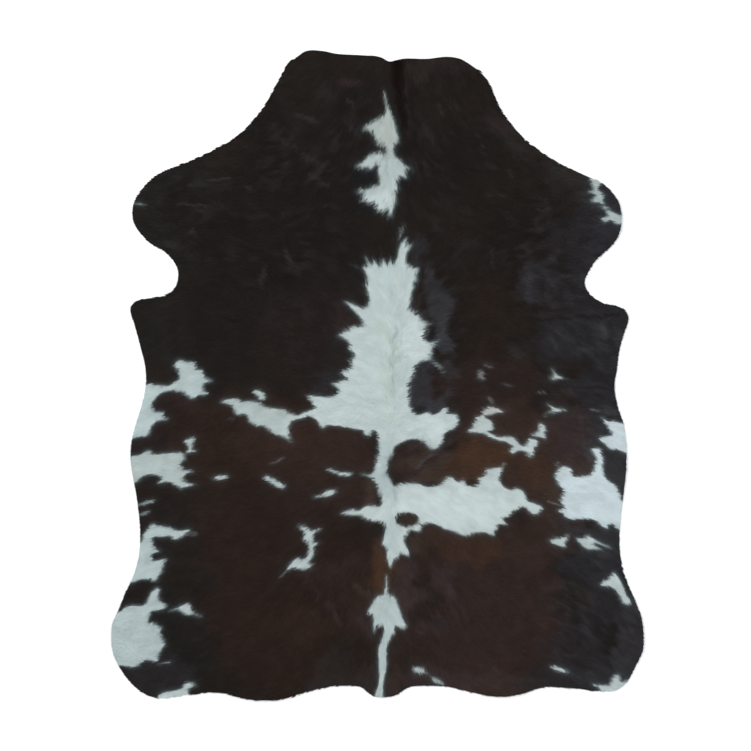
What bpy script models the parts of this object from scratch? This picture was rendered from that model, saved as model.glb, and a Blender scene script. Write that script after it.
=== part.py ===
"""A cowhide rug: one hair-on hide, cut to its natural outline and laid out flat.

Metres, +Z up. The floor is z = 0, the neck lies towards +Y and the tail towards -Y.
The origin is on the floor, under the middle of the hide.
"""

import math

import bmesh
import bpy
import numpy as np
from mathutils import Vector
from mathutils.geometry import delaunay_2d_cdt

CM = 0.01
MM = 0.001

# Driving sizes of the trimmed hide.
HIDE_LENGTH = 2.20
HIDE_WIDTH = 1.80
HIDE_THICKNESS = 0.005  # about 2 mm of skin under about 3 mm of lying hair
EDGE_ROUND = 0.002  # how far the cut edge is rounded in, above and below

# How finely the sheet is faceted.
OUTLINE_STEP = 0.027
PLAN_STEP = 0.055
FOLD_STEP = 0.035
CURVE_STEPS = 24  # steps between two outline points before the even spacing

# The cut edge in centimetres from the middle of the hide, one row for each stretch of the
# animal, anticlockwise from the notch where the backbone meets the neck cut.
OUTLINE = (
    ("neck cut, left half", (
        (3.9, 106.5), (0.8, 108.1), (-4.6, 108.6), (-14.4, 109.2), (-18, 110), (-24.3, 110))),
    ("left side of the neck", (
        (-27.3, 107.6), (-29.6, 106.5), (-32.6, 101.3), (-35, 97), (-38.3, 91), (-41.5, 87),
        (-46.3, 81.8))),
    ("left shoulder", ((-54.3, 77), (-64, 72.3), (-72, 69.3), (-77, 66))),
    ("left foreleg", (
        (-80.4, 61.8), (-82.4, 58), (-82.4, 52.2), (-80, 48.2), (-76.3, 44.5), (-72.3, 42.4))),
    ("left armpit", (
        (-69, 39), (-67.4, 35.8), (-67.6, 31.6), (-69.3, 28.5), (-72.4, 26.8), (-78.5, 26.1))),
    ("left flank", (
        (-82.5, 24.6), (-83.5, 22.2), (-82.4, 18.6), (-80, 9.7), (-78.4, 3), (-78.2, -3.4))),
    ("left belly", (
        (-79.7, -10.5), (-82, -18), (-83.2, -24), (-83.2, -30), (-82, -37), (-81, -43.3),
        (-80.1, -53.5), (-80.6, -61.5))),
    ("left hind leg", (
        (-82.6, -68.5), (-85.1, -73.5), (-87.5, -79.8), (-89.4, -83.8), (-89.8, -88.8),
        (-89.2, -94), (-87.2, -98.5), (-84, -103.2), (-80.4, -106.6))),
    ("left rump", (
        (-76.3, -108.8), (-70, -108.9), (-62.8, -107.9), (-53.7, -107.3), (-45, -109.4),
        (-38.3, -110), (-31.6, -109.5), (-25.2, -107.5), (-16, -105.3), (-7.8, -105.2))),
    ("tail", ((-4.6, -105.9), (-2, -108.4), (5.8, -108.5), (10.6, -105.6))),
    ("right rump", (
        (19, -105.1), (24.4, -105.5), (32.7, -107.5), (41, -108.8), (49, -107.8),
        (53.5, -106.2), (57.5, -105.5), (68.5, -106.2), (75, -106.8))),
    ("right hind leg", (
        (80.4, -106.7), (84.5, -103.6), (87.2, -98.5), (89.7, -93), (89.8, -86), (89, -81.3),
        (87.2, -76.5), (83.4, -67.3))),
    ("right belly", (
        (82.2, -62), (81.8, -54), (83, -41.5), (83.9, -33.7), (84.1, -25.3), (83.3, -16.8))),
    ("right flank", (
        (81.2, -10.4), (80.1, -3.3), (81, 2.2), (81.8, 8.6), (83.6, 15), (84.9, 19.3))),
    ("right armpit", (
        (83.9, 21.9), (81.4, 23.5), (75.5, 24.8), (71.2, 28.3), (70, 31.9), (71.6, 35.5))),
    ("right foreleg", (
        (74, 39.3), (77.3, 42.2), (81, 46.3), (82.4, 51.6), (82, 57.3), (80, 61.2))),
    ("right shoulder", ((76.2, 65), (71, 67.6), (62, 71.5), (55, 76), (49, 80.7))),
    ("right side of the neck", (
        (44.5, 86), (41.5, 90.4), (38.6, 97), (36, 101.6), (32, 105))),
    ("neck cut, right half", ((27.6, 107.5), (23.2, 108.1), (16.6, 107.4), (8.3, 107.4))),
)

# Soft ridges where the sheet was folded: ends in centimetres, half width in centimetres,
# height in millimetres.
FOLDS = (
    # name, start, end, half width, height
    ("neck crease, left lip", (2.0, 112.0), (2.6, 91.0), 3.0, 4.0),
    ("neck crease, right lip", (11.5, 112.0), (9.6, 88.0), 3.4, 5.0),
    ("backbone over the ribs", (5.2, 32.0), (4.6, -16.0), 2.6, 2.5),
    ("backbone over the loins", (5.6, -32.0), (5.0, -54.0), 2.4, 2.5),
    ("fold in the left of the neck", (-30.0, 103.0), (-2.0, 104.5), 2.4, 2.5),
    ("upper fold in the right flank", (64.0, 19.6), (90.0, 20.6), 2.4, 3.5),
    ("lower fold in the right flank", (68.0, -2.6), (88.0, -3.8), 2.4, 3.0),
)

# Where the edge of the dried skin stands a little off the floor: middle and reach in
# centimetres, height in millimetres.
LIFTED_EDGES = (
    # name, middle, reach, height
    ("left corner of the neck", (-26.0, 114.0), 14.0, 4.0),
    ("right corner of the neck", (34.0, 110.0), 14.0, 4.0),
    ("left foreleg", (-86.0, 56.0), 16.0, 5.0),
    ("right foreleg", (87.0, 53.0), 16.0, 5.0),
    ("left flank", (-88.0, 22.0), 14.0, 5.0),
    ("left belly", (-87.0, -28.0), 16.0, 4.0),
    ("right belly", (88.0, -30.0), 18.0, 4.0),
    ("left hind leg", (-94.0, -90.0), 18.0, 5.0),
    ("right hind leg", (94.0, -88.0), 18.0, 5.0),
    ("left rump", (-39.0, -115.0), 16.0, 4.0),
    ("right rump", (42.0, -114.0), 16.0, 4.0),
    ("tail", (2.0, -113.0), 9.0, 3.0),
)

HIDE_COLOUR = (0.022, 0.014, 0.011, 1.0)
HIDE_ROUGHNESS = 0.62


def clear_scene():
    for old in list(bpy.data.objects):
        bpy.data.objects.remove(old, do_unlink=True)


def between(start, end, start_at, end_at, at):
    return (start * (end_at - at) + end * (at - start_at)) / (end_at - start_at)


def span_between(four, at):
    """A point of the centripetal Catmull-Rom span from the second of four points to the third."""
    a, b, c, d = four
    p = 0.0
    q = p + math.sqrt(math.dist(a, b))
    r = q + math.sqrt(math.dist(b, c))
    s = r + math.sqrt(math.dist(c, d))
    here = q + at * (r - q)
    early, middle, late = (
        between(a, b, p, q, here), between(b, c, q, r, here), between(c, d, r, s, here))
    return between(
        between(early, middle, p, r, here), between(middle, late, q, s, here), q, r, here)


def smooth_outline():
    """The cut edge as evenly spaced points on a smooth closed curve, at its real size."""
    corners = CM * np.array([point for _, stretch in OUTLINE for point in stretch])
    curve = np.array([
        span_between([corners[(index + step) % len(corners)] for step in (-1, 0, 1, 2)], at)
        for index in range(len(corners))
        for at in np.linspace(0, 1, CURVE_STEPS, endpoint=False)
    ])
    closed = np.vstack([curve, curve[:1]])
    run = np.append(0, np.cumsum(np.linalg.norm(np.diff(closed, axis=0), axis=1)))
    count = round(run[-1] / OUTLINE_STEP)
    at = np.linspace(0, run[-1], count, endpoint=False)
    edge = np.stack([np.interp(at, run, closed[:, axis]) for axis in (0, 1)], axis=1)
    low, high = edge.min(axis=0), edge.max(axis=0)
    return (edge - (low + high) / 2) * (HIDE_WIDTH, HIDE_LENGTH) / (high - low)


def drawn_in(edge, distance):
    """The closed edge moved inwards: it runs anticlockwise, so inwards is on its left."""
    along = np.roll(edge, -1, axis=0) - np.roll(edge, 1, axis=0)
    along /= np.linalg.norm(along, axis=1)[:, None]
    return edge + distance * np.stack([-along[:, 1], along[:, 0]], axis=1)


def swell(distance, reach):
    """A soft rise: 1 at no distance, falling to nothing at its reach."""
    return 0.5 + 0.5 * math.cos(math.pi * min(distance / reach, 1.0))


def lift(x, y):
    """How high the underside stands off the floor at this place."""
    height = 0.0
    for _, start, end, half_width, rise in FOLDS:
        start, along = CM * np.array(start), CM * (np.array(end) - start)
        share = np.dot((x, y) - start, along) / np.dot(along, along)
        share = min(max(share, 0.0), 1.0)
        aside = math.dist((x, y), start + share * along)
        height += rise * MM * swell(aside, half_width * CM) * math.sin(math.pi * share) ** 0.5
    for _, middle, reach, rise in LIFTED_EDGES:
        aside = math.dist((x, y), CM * np.array(middle))
        height += rise * MM * swell(aside, reach * CM)
    return height


def inside(point, edge):
    """Whether the point lies within the closed edge, by counting the sides to its right."""
    x, y = point
    after = np.roll(edge, -1, axis=0)
    spans = (edge[:, 1] > y) != (after[:, 1] > y)
    first, second = edge[spans], after[spans]
    crossing = first[:, 0] + (y - first[:, 1]) * (second - first)[:, 0] / (second - first)[:, 1]
    return np.count_nonzero(crossing > x) % 2 == 1


def inner_points(edge):
    """Points for the middle of the sheet: staggered rows, and closer rows along each fold."""
    points = []
    row_step = PLAN_STEP * math.sqrt(3) / 2
    rows = math.ceil(HIDE_LENGTH / 2 / row_step)
    columns = math.ceil(HIDE_WIDTH / 2 / PLAN_STEP)
    for row in range(-rows, rows + 1):
        for column in range(-columns, columns + 1):
            points.append(((column + row % 2 / 2) * PLAN_STEP, row * row_step))
    folds = []
    for _, start, end, half_width, _ in FOLDS:
        start, along = CM * np.array(start), CM * (np.array(end) - start)
        length = np.linalg.norm(along)
        aside = half_width * CM * np.array((-along[1], along[0])) / length
        for share in np.linspace(0, 1, round(length / FOLD_STEP) + 1):
            for place in (-1, -0.5, 0, 0.5, 1):
                folds.append(start + share * along + place * aside)
    plain = [
        point for point in points
        if min(math.dist(point, fold) for fold in folds) > PLAN_STEP / 2
    ]
    room = drawn_in(edge, OUTLINE_STEP * 0.6)
    return [tuple(point) for point in (*plain, *folds) if inside(point, room)]


def hide_mesh():
    """The sheet: an underside, a middle edge line that stands out, and a top side."""
    edge = smooth_outline()
    rim = drawn_in(edge, EDGE_ROUND)
    count = len(rim)
    points = [tuple(point) for point in rim] + inner_points(edge)
    flat, _, triangles, *_ = delaunay_2d_cdt(points, [], [list(range(count))], 1, 1e-6)
    plan = bmesh.new()
    under = [plan.verts.new((x, y, lift(x, y))) for x, y in flat]
    over = [plan.verts.new(vert.co + Vector((0, 0, HIDE_THICKNESS))) for vert in under]
    middle = [
        plan.verts.new((x, y, lift(x, y) + HIDE_THICKNESS / 2)) for x, y in edge
    ]
    for corners in triangles:
        plan.faces.new([over[corner] for corner in corners])
        plan.faces.new([under[corner] for corner in reversed(corners)])
    for index in range(count):
        after = (index + 1) % count
        plan.faces.new((under[index], under[after], middle[after], middle[index]))
        plan.faces.new((middle[index], middle[after], over[after], over[index]))
    bmesh.ops.recalc_face_normals(plan, faces=plan.faces)
    mesh = bpy.data.meshes.new("hide")
    plan.to_mesh(mesh)
    plan.free()
    mesh.shade_smooth()
    mesh.set_sharp_from_angle(angle=math.radians(50))
    return mesh


def hair_on_leather():
    material = bpy.data.materials.new("hair_on_leather")
    material.use_nodes = True
    shader = material.node_tree.nodes["Principled BSDF"]
    shader.inputs["Base Color"].default_value = HIDE_COLOUR
    shader.inputs["Roughness"].default_value = HIDE_ROUGHNESS
    shader.inputs["Metallic"].default_value = 0.0
    return material


clear_scene()
hide = bpy.data.objects.new("hide", hide_mesh())
hide.data.materials.append(hair_on_leather())
bpy.context.collection.objects.link(hide)
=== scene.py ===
# %% [markdown]
# # A hair-on cowhide rug
# The real object is one tanned hide: about 2 mm of skin, with the animal's short hair left on it. It lies
# flat on the floor. The frame gives its solid, which has the true outline and folds, and this script adds
# what the eye sees: the skin as a thin sheet, and the coat as many small locks of hair combed over it.
#
# The frame is loaded first. Its box is kept for the lens and the grids of the rug.

import bmesh
import bpy
import numpy as np
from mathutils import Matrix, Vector
from mathutils.bvhtree import BVHTree
from mathutils.geometry import delaunay_2d_cdt


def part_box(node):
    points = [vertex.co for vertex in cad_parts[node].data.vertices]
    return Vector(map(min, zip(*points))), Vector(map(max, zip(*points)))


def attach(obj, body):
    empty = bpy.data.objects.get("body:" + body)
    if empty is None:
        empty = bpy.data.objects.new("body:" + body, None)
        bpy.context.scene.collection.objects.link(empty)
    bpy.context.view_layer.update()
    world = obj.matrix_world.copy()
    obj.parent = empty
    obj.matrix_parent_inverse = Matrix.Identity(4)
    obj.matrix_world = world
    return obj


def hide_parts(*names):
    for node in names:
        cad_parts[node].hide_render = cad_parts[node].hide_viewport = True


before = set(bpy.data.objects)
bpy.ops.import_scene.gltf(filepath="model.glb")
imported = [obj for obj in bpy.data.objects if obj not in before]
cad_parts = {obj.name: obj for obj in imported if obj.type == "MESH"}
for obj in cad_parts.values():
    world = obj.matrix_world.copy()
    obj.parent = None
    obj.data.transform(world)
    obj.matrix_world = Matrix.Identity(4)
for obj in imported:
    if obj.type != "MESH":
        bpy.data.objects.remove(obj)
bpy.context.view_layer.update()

CM = 0.01
MM = 0.001
hide_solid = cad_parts["hide"]
hide_low, hide_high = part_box("hide")
HIDE_LENGTH = hide_high.y - hide_low.y
bpy.ops.object.select_all(action="DESELECT")

# %% [markdown]
# ## The camera
# A flat rug shows best from straight above. A long lens from high up keeps the edges of the rug from
# leaning outwards. The lens follows from the height and from how much of the picture the hide fills.

# %% Camera
CAMERA_HEIGHT = 6.0
SHARE_OF_PICTURE = 0.8655
SENSOR_SIDE = 36.0
CAMERA_OFF_CENTRE = (-0.7 * CM, -0.1 * CM)
CAMERA_SEES_TO = 50.0
bpy.ops.object.camera_add(location=(*CAMERA_OFF_CENTRE, CAMERA_HEIGHT), rotation=(0, 0, 0))
camera = bpy.context.object
camera.name = "camera"
camera.data.sensor_width = SENSOR_SIDE
camera.data.lens = SENSOR_SIDE * CAMERA_HEIGHT * SHARE_OF_PICTURE / HIDE_LENGTH
camera.data.clip_end = CAMERA_SEES_TO
bpy.context.scene.camera = camera
print(f"the lens is {camera.data.lens:.0f} mm")

# %% [markdown]
# ## Words for materials
# Material nodes are easier to read as sums than as wires. This small class wraps one output of a node.
# Adding, taking away or multiplying adds a Math node, and `make` adds any other node.

# %% Sums on nodes
# A Mix node keeps its two colours and its mixed colour at these places among its sockets.
MIX_FIRST, MIX_SECOND, MIX_RESULT = 6, 7, 2


class Wire:
    """One output of a material's nodes."""

    def __init__(self, tree, socket=None):
        self.tree = tree
        self.socket = socket

    def make(self, kind, settings=None, values=None, output=0):
        """Any node, from its type, its settings, and the values or wires of its sockets."""
        node = self.tree.nodes.new(kind)
        for name, value in (settings or {}).items():
            setattr(node, name, value)
        for place, value in (values or {}).items():
            if isinstance(value, Wire):
                self.tree.links.new(value.socket, node.inputs[place])
            else:
                node.inputs[place].default_value = value
        return Wire(self.tree, node.outputs[output])

    def sum(self, operation, first, second):
        return self.make("ShaderNodeMath", {"operation": operation}, {0: first, 1: second})

    def __add__(self, other):
        return self.sum("ADD", self, other)

    def __radd__(self, other):
        return self.sum("ADD", other, self)

    def __sub__(self, other):
        return self.sum("SUBTRACT", self, other)

    def __rsub__(self, other):
        return self.sum("SUBTRACT", other, self)

    def __mul__(self, other):
        return self.sum("MULTIPLY", self, other)

    def __rmul__(self, other):
        return self.sum("MULTIPLY", other, self)


def new_finish(name, roughness, specular):
    """A new material, its shader and a wire to start sums from."""
    material = bpy.data.materials.new(name)
    material.use_nodes = True
    shader = material.node_tree.nodes["Principled BSDF"]
    shader.inputs["Roughness"].default_value = roughness
    shader.inputs["Specular IOR Level"].default_value = specular
    return material, shader, Wire(material.node_tree)


def join(tree, wire, socket):
    tree.links.new(wire.socket, socket)


def linear(red, green, blue):
    """A colour as a paint chart gives it, from 0 to 255, as the amounts of light that Blender mixes."""
    share = np.array([red, green, blue]) / 255
    return np.where(share <= 0.04045, share / 12.92, ((share + 0.055) / 1.055) ** 2.4)


# %% [markdown]
# ## Floor and light
# A plain pale floor and soft studio light. Two large soft boxes stand beyond the sides, so that the coat
# gets a light and a shaded side, and the sky fills the rest. The Standard view keeps colours as they are.

# %% Floor and light
FLOOR_SIDE = 14.0
FLOOR_DARKER = (0.93, 0.93, 0.93, 1)
FLOOR_LIGHTER = (0.97, 0.97, 0.97, 1)
SKY_COLOUR = (0.94, 0.97, 1.0, 1)
SKY_STRENGTH = 0.75
bpy.ops.mesh.primitive_plane_add(size=FLOOR_SIDE)
floor = bpy.context.object
floor.name = "floor"
paint, shader, wire = new_finish("pale floor", 0.85, 0.2)
place = wire.make("ShaderNodeTexCoord", output="Object")
grain = wire.make("ShaderNodeTexNoise", values={"Vector": place, "Scale": 3.0, "Detail": 3.0})
pale = wire.make("ShaderNodeMix", {"data_type": "RGBA"},
                 {"Factor": grain, MIX_FIRST: FLOOR_DARKER, MIX_SECOND: FLOOR_LIGHTER}, output=MIX_RESULT)
join(paint.node_tree, pale, shader.inputs["Base Color"])
floor.data.materials.append(paint)

sky = bpy.data.worlds.new("studio")
sky.use_nodes = True
sky.node_tree.nodes["Background"].inputs["Color"].default_value = SKY_COLOUR
sky.node_tree.nodes["Background"].inputs["Strength"].default_value = SKY_STRENGTH
bpy.context.scene.world = sky


def soft_box(name, place, side, power):
    """A square soft box that faces the middle of the rug and stays out of pictures."""
    bpy.ops.object.light_add(type="AREA", location=place)
    lamp = bpy.context.object
    lamp.name = name
    lamp.data.shape = "SQUARE"
    lamp.data.size = side
    lamp.data.energy = power
    lamp.rotation_euler = (-Vector(place)).to_track_quat("-Z", "Y").to_euler()
    lamp.visible_camera = False
    return lamp


soft_box("main soft box", place=(-2.9, 2.2, 3.2), side=2.2, power=150)
soft_box("fill soft box", place=(3.0, -2.4, 3.4), side=2.6, power=70)
bpy.context.scene.view_settings.view_transform = "Standard"

# %% [markdown]
# ## Curves and distances
# A few helpers serve the whole rug. The first draws a smooth closed curve through a few points, so that an
# outline needs only the points that its shape turns on. The second says how deep a point lies inside such
# a curve. Where two colours of hair meet, that depth decides which hair grows. The others fade a share in
# and out softly, and give the smooth unevenness that no real coat is without.

# %% Smooth loops and depths
POINTS_AT_ONCE = 2000
TINY = 1e-12


def smooth_loop(points, steps):
    """A closed curve through the points; close points are eased so that it doesn't overshoot."""
    now = np.asarray(points, float)
    before, after, later = np.roll(now, 1, 0), np.roll(now, -1, 0), np.roll(now, -2, 0)
    first = np.sqrt(np.linalg.norm(now - before, axis=1))[:, None]
    second = first + np.sqrt(np.linalg.norm(after - now, axis=1))[:, None]
    third = second + np.sqrt(np.linalg.norm(later - after, axis=1))[:, None]

    def between(a, b, start, end, at):
        return a + (b - a) * (at - start) / (end - start)

    rows = []
    for share in np.arange(steps) / steps:
        at = first + share * (second - first)
        left = between(before, now, 0, first, at)
        middle = between(now, after, first, second, at)
        right = between(after, later, second, third, at)
        rows.append(between(between(left, middle, 0, second, at),
                            between(middle, right, first, third, at), first, second, at))
    return np.stack(rows, 1).reshape(-1, 2)


def depth_inside(points, loop, reach):
    """How far each point lies inside a closed loop; outside it is below zero, down to -reach."""
    found = np.full(len(points), -reach)
    close = ((points > loop.min(0) - reach) & (points < loop.max(0) + reach)).all(1)
    places = np.flatnonzero(close)
    ends = np.roll(loop, -1, axis=0)
    run = ends - loop
    slope = run[:, 0] / np.where(run[:, 1] == 0, TINY, run[:, 1])
    for part in np.array_split(places, len(places) // POINTS_AT_ONCE + 1):
        x, y = points[part, 0][:, None], points[part, 1][:, None]
        dx, dy = x - loop[:, 0], y - loop[:, 1]
        along = np.clip((dx * run[:, 0] + dy * run[:, 1]) / (run ** 2).sum(1), 0, 1)
        gap = np.sqrt(((dx - along * run[:, 0]) ** 2 + (dy - along * run[:, 1]) ** 2).min(1))
        crosses = (loop[:, 1] > y) != (ends[:, 1] > y)
        inside = (crosses & (dx < dy * slope)).sum(1) % 2 == 1
        found[part] = np.where(inside, gap, -np.minimum(gap, reach))
    return found


def ease(share):
    """A share from 0 to 1 that starts and ends softly."""
    share = np.clip(share, 0, 1)
    return share * share * (3 - 2 * share)


# %% Smooth unevenness
LATTICE = 512


def drift(points, cell, seed):
    """Smooth random unevenness from -1 to 1, whose hills are about one cell wide."""
    grid = np.random.default_rng(seed).uniform(-1, 1, (LATTICE, LATTICE))
    at = points / cell + LATTICE / 2
    low = np.floor(at).astype(int)
    share = ease(at - low)
    a, b = low[:, 0] % LATTICE, low[:, 1] % LATTICE
    c, d = (a + 1) % LATTICE, (b + 1) % LATTICE
    near = grid[a, b] * (1 - share[:, 0]) + grid[c, b] * share[:, 0]
    far = grid[a, d] * (1 - share[:, 0]) + grid[c, d] * share[:, 0]
    return near * (1 - share[:, 1]) + far * share[:, 1]


def sway(points, cell, seed):
    """Smooth random unevenness in both directions of the floor, to move points about with."""
    return np.stack([drift(points, cell, seed), drift(points, cell, seed + 1)], 1)


# %% [markdown]
# ## The hide's edge and height
# The solid already holds the edge and the folds, so both are read from it. Its upper rim and its lower rim
# meet in one ring of edges, which is the outline. A ray cast upwards meets the underside, and its height
# there is the height of the fold.

# %% Edge and height from the solid
EDGE_STEPS = 4
SAME_CORNER = 0.01 * MM


def edge_of(solid):
    """The points of the ring of edges where a flat solid's upper and lower faces meet, in order."""
    shape = bmesh.new()
    shape.from_mesh(solid.data)
    bmesh.ops.remove_doubles(shape, verts=shape.verts, dist=SAME_CORNER)
    ring = [e for e in shape.edges
            if len(e.link_faces) == 2 and (e.link_faces[0].normal.z > 0) != (e.link_faces[1].normal.z > 0)]
    beside = {}
    for e in ring:
        for one, other in (e.verts, reversed(e.verts)):
            beside.setdefault(one, []).append(other)
    walk = [ring[0].verts[0], ring[0].verts[1]]
    while walk[-1] is not walk[0]:
        walk.append(next(v for v in beside[walk[-1]] if v is not walk[-2]))
    points = np.array([v.co.xy for v in walk[:-1]])
    shape.free()
    after = np.roll(points, -1, axis=0)
    turns_left = (points[:, 0] * after[:, 1] - points[:, 1] * after[:, 0]).sum() > 0
    return points if turns_left else points[::-1]


hide_edge = smooth_loop(edge_of(hide_solid), EDGE_STEPS)
print(len(hide_edge), "points round the edge")

# %% Height of the folds
HEIGHT_CELL = 10 * MM
CELLS_PAST_EDGE = 8
JUST_INSIDE = 1.001
BELOW_FLOOR = -1.0
UPWARDS = Vector((0, 0, 1))
column_x = np.arange(hide_low.x, hide_high.x + HEIGHT_CELL, HEIGHT_CELL)
row_y = np.arange(hide_low.y, hide_high.y + HEIGHT_CELL, HEIGHT_CELL)
solid_tree = BVHTree.FromPolygons([v.co for v in hide_solid.data.vertices],
                                  [p.vertices for p in hide_solid.data.polygons])
fold_height = np.full((len(column_x), len(row_y)), np.nan)
for i, x in enumerate(column_x):
    for j, y in enumerate(row_y):
        hit = solid_tree.ray_cast(Vector((x, y, BELOW_FLOOR)), UPWARDS)[0]
        if hit is not None:
            fold_height[i, j] = hit.z
for _ in range(CELLS_PAST_EDGE):
    for roll_by in ((1, 0), (-1, 0), (0, 1), (0, -1)):
        beside = np.roll(fold_height, roll_by, axis=(0, 1))
        fold_height = np.where(np.isnan(fold_height), beside, fold_height)
fold_height = np.nan_to_num(fold_height)
print(f"the highest fold is {fold_height.max() / MM:.1f} mm off the floor")


def fold(points):
    """The height of the underside above the floor at each point."""
    at_x = np.clip((points[:, 0] - column_x[0]) / HEIGHT_CELL, 0, len(column_x) - JUST_INSIDE)
    at_y = np.clip((points[:, 1] - row_y[0]) / HEIGHT_CELL, 0, len(row_y) - JUST_INSIDE)
    i, j = at_x.astype(int), at_y.astype(int)
    u, v = at_x - i, at_y - j
    return ((1 - u) * ((1 - v) * fold_height[i, j] + v * fold_height[i, j + 1])
            + u * ((1 - v) * fold_height[i + 1, j] + v * fold_height[i + 1, j + 1]))
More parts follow.
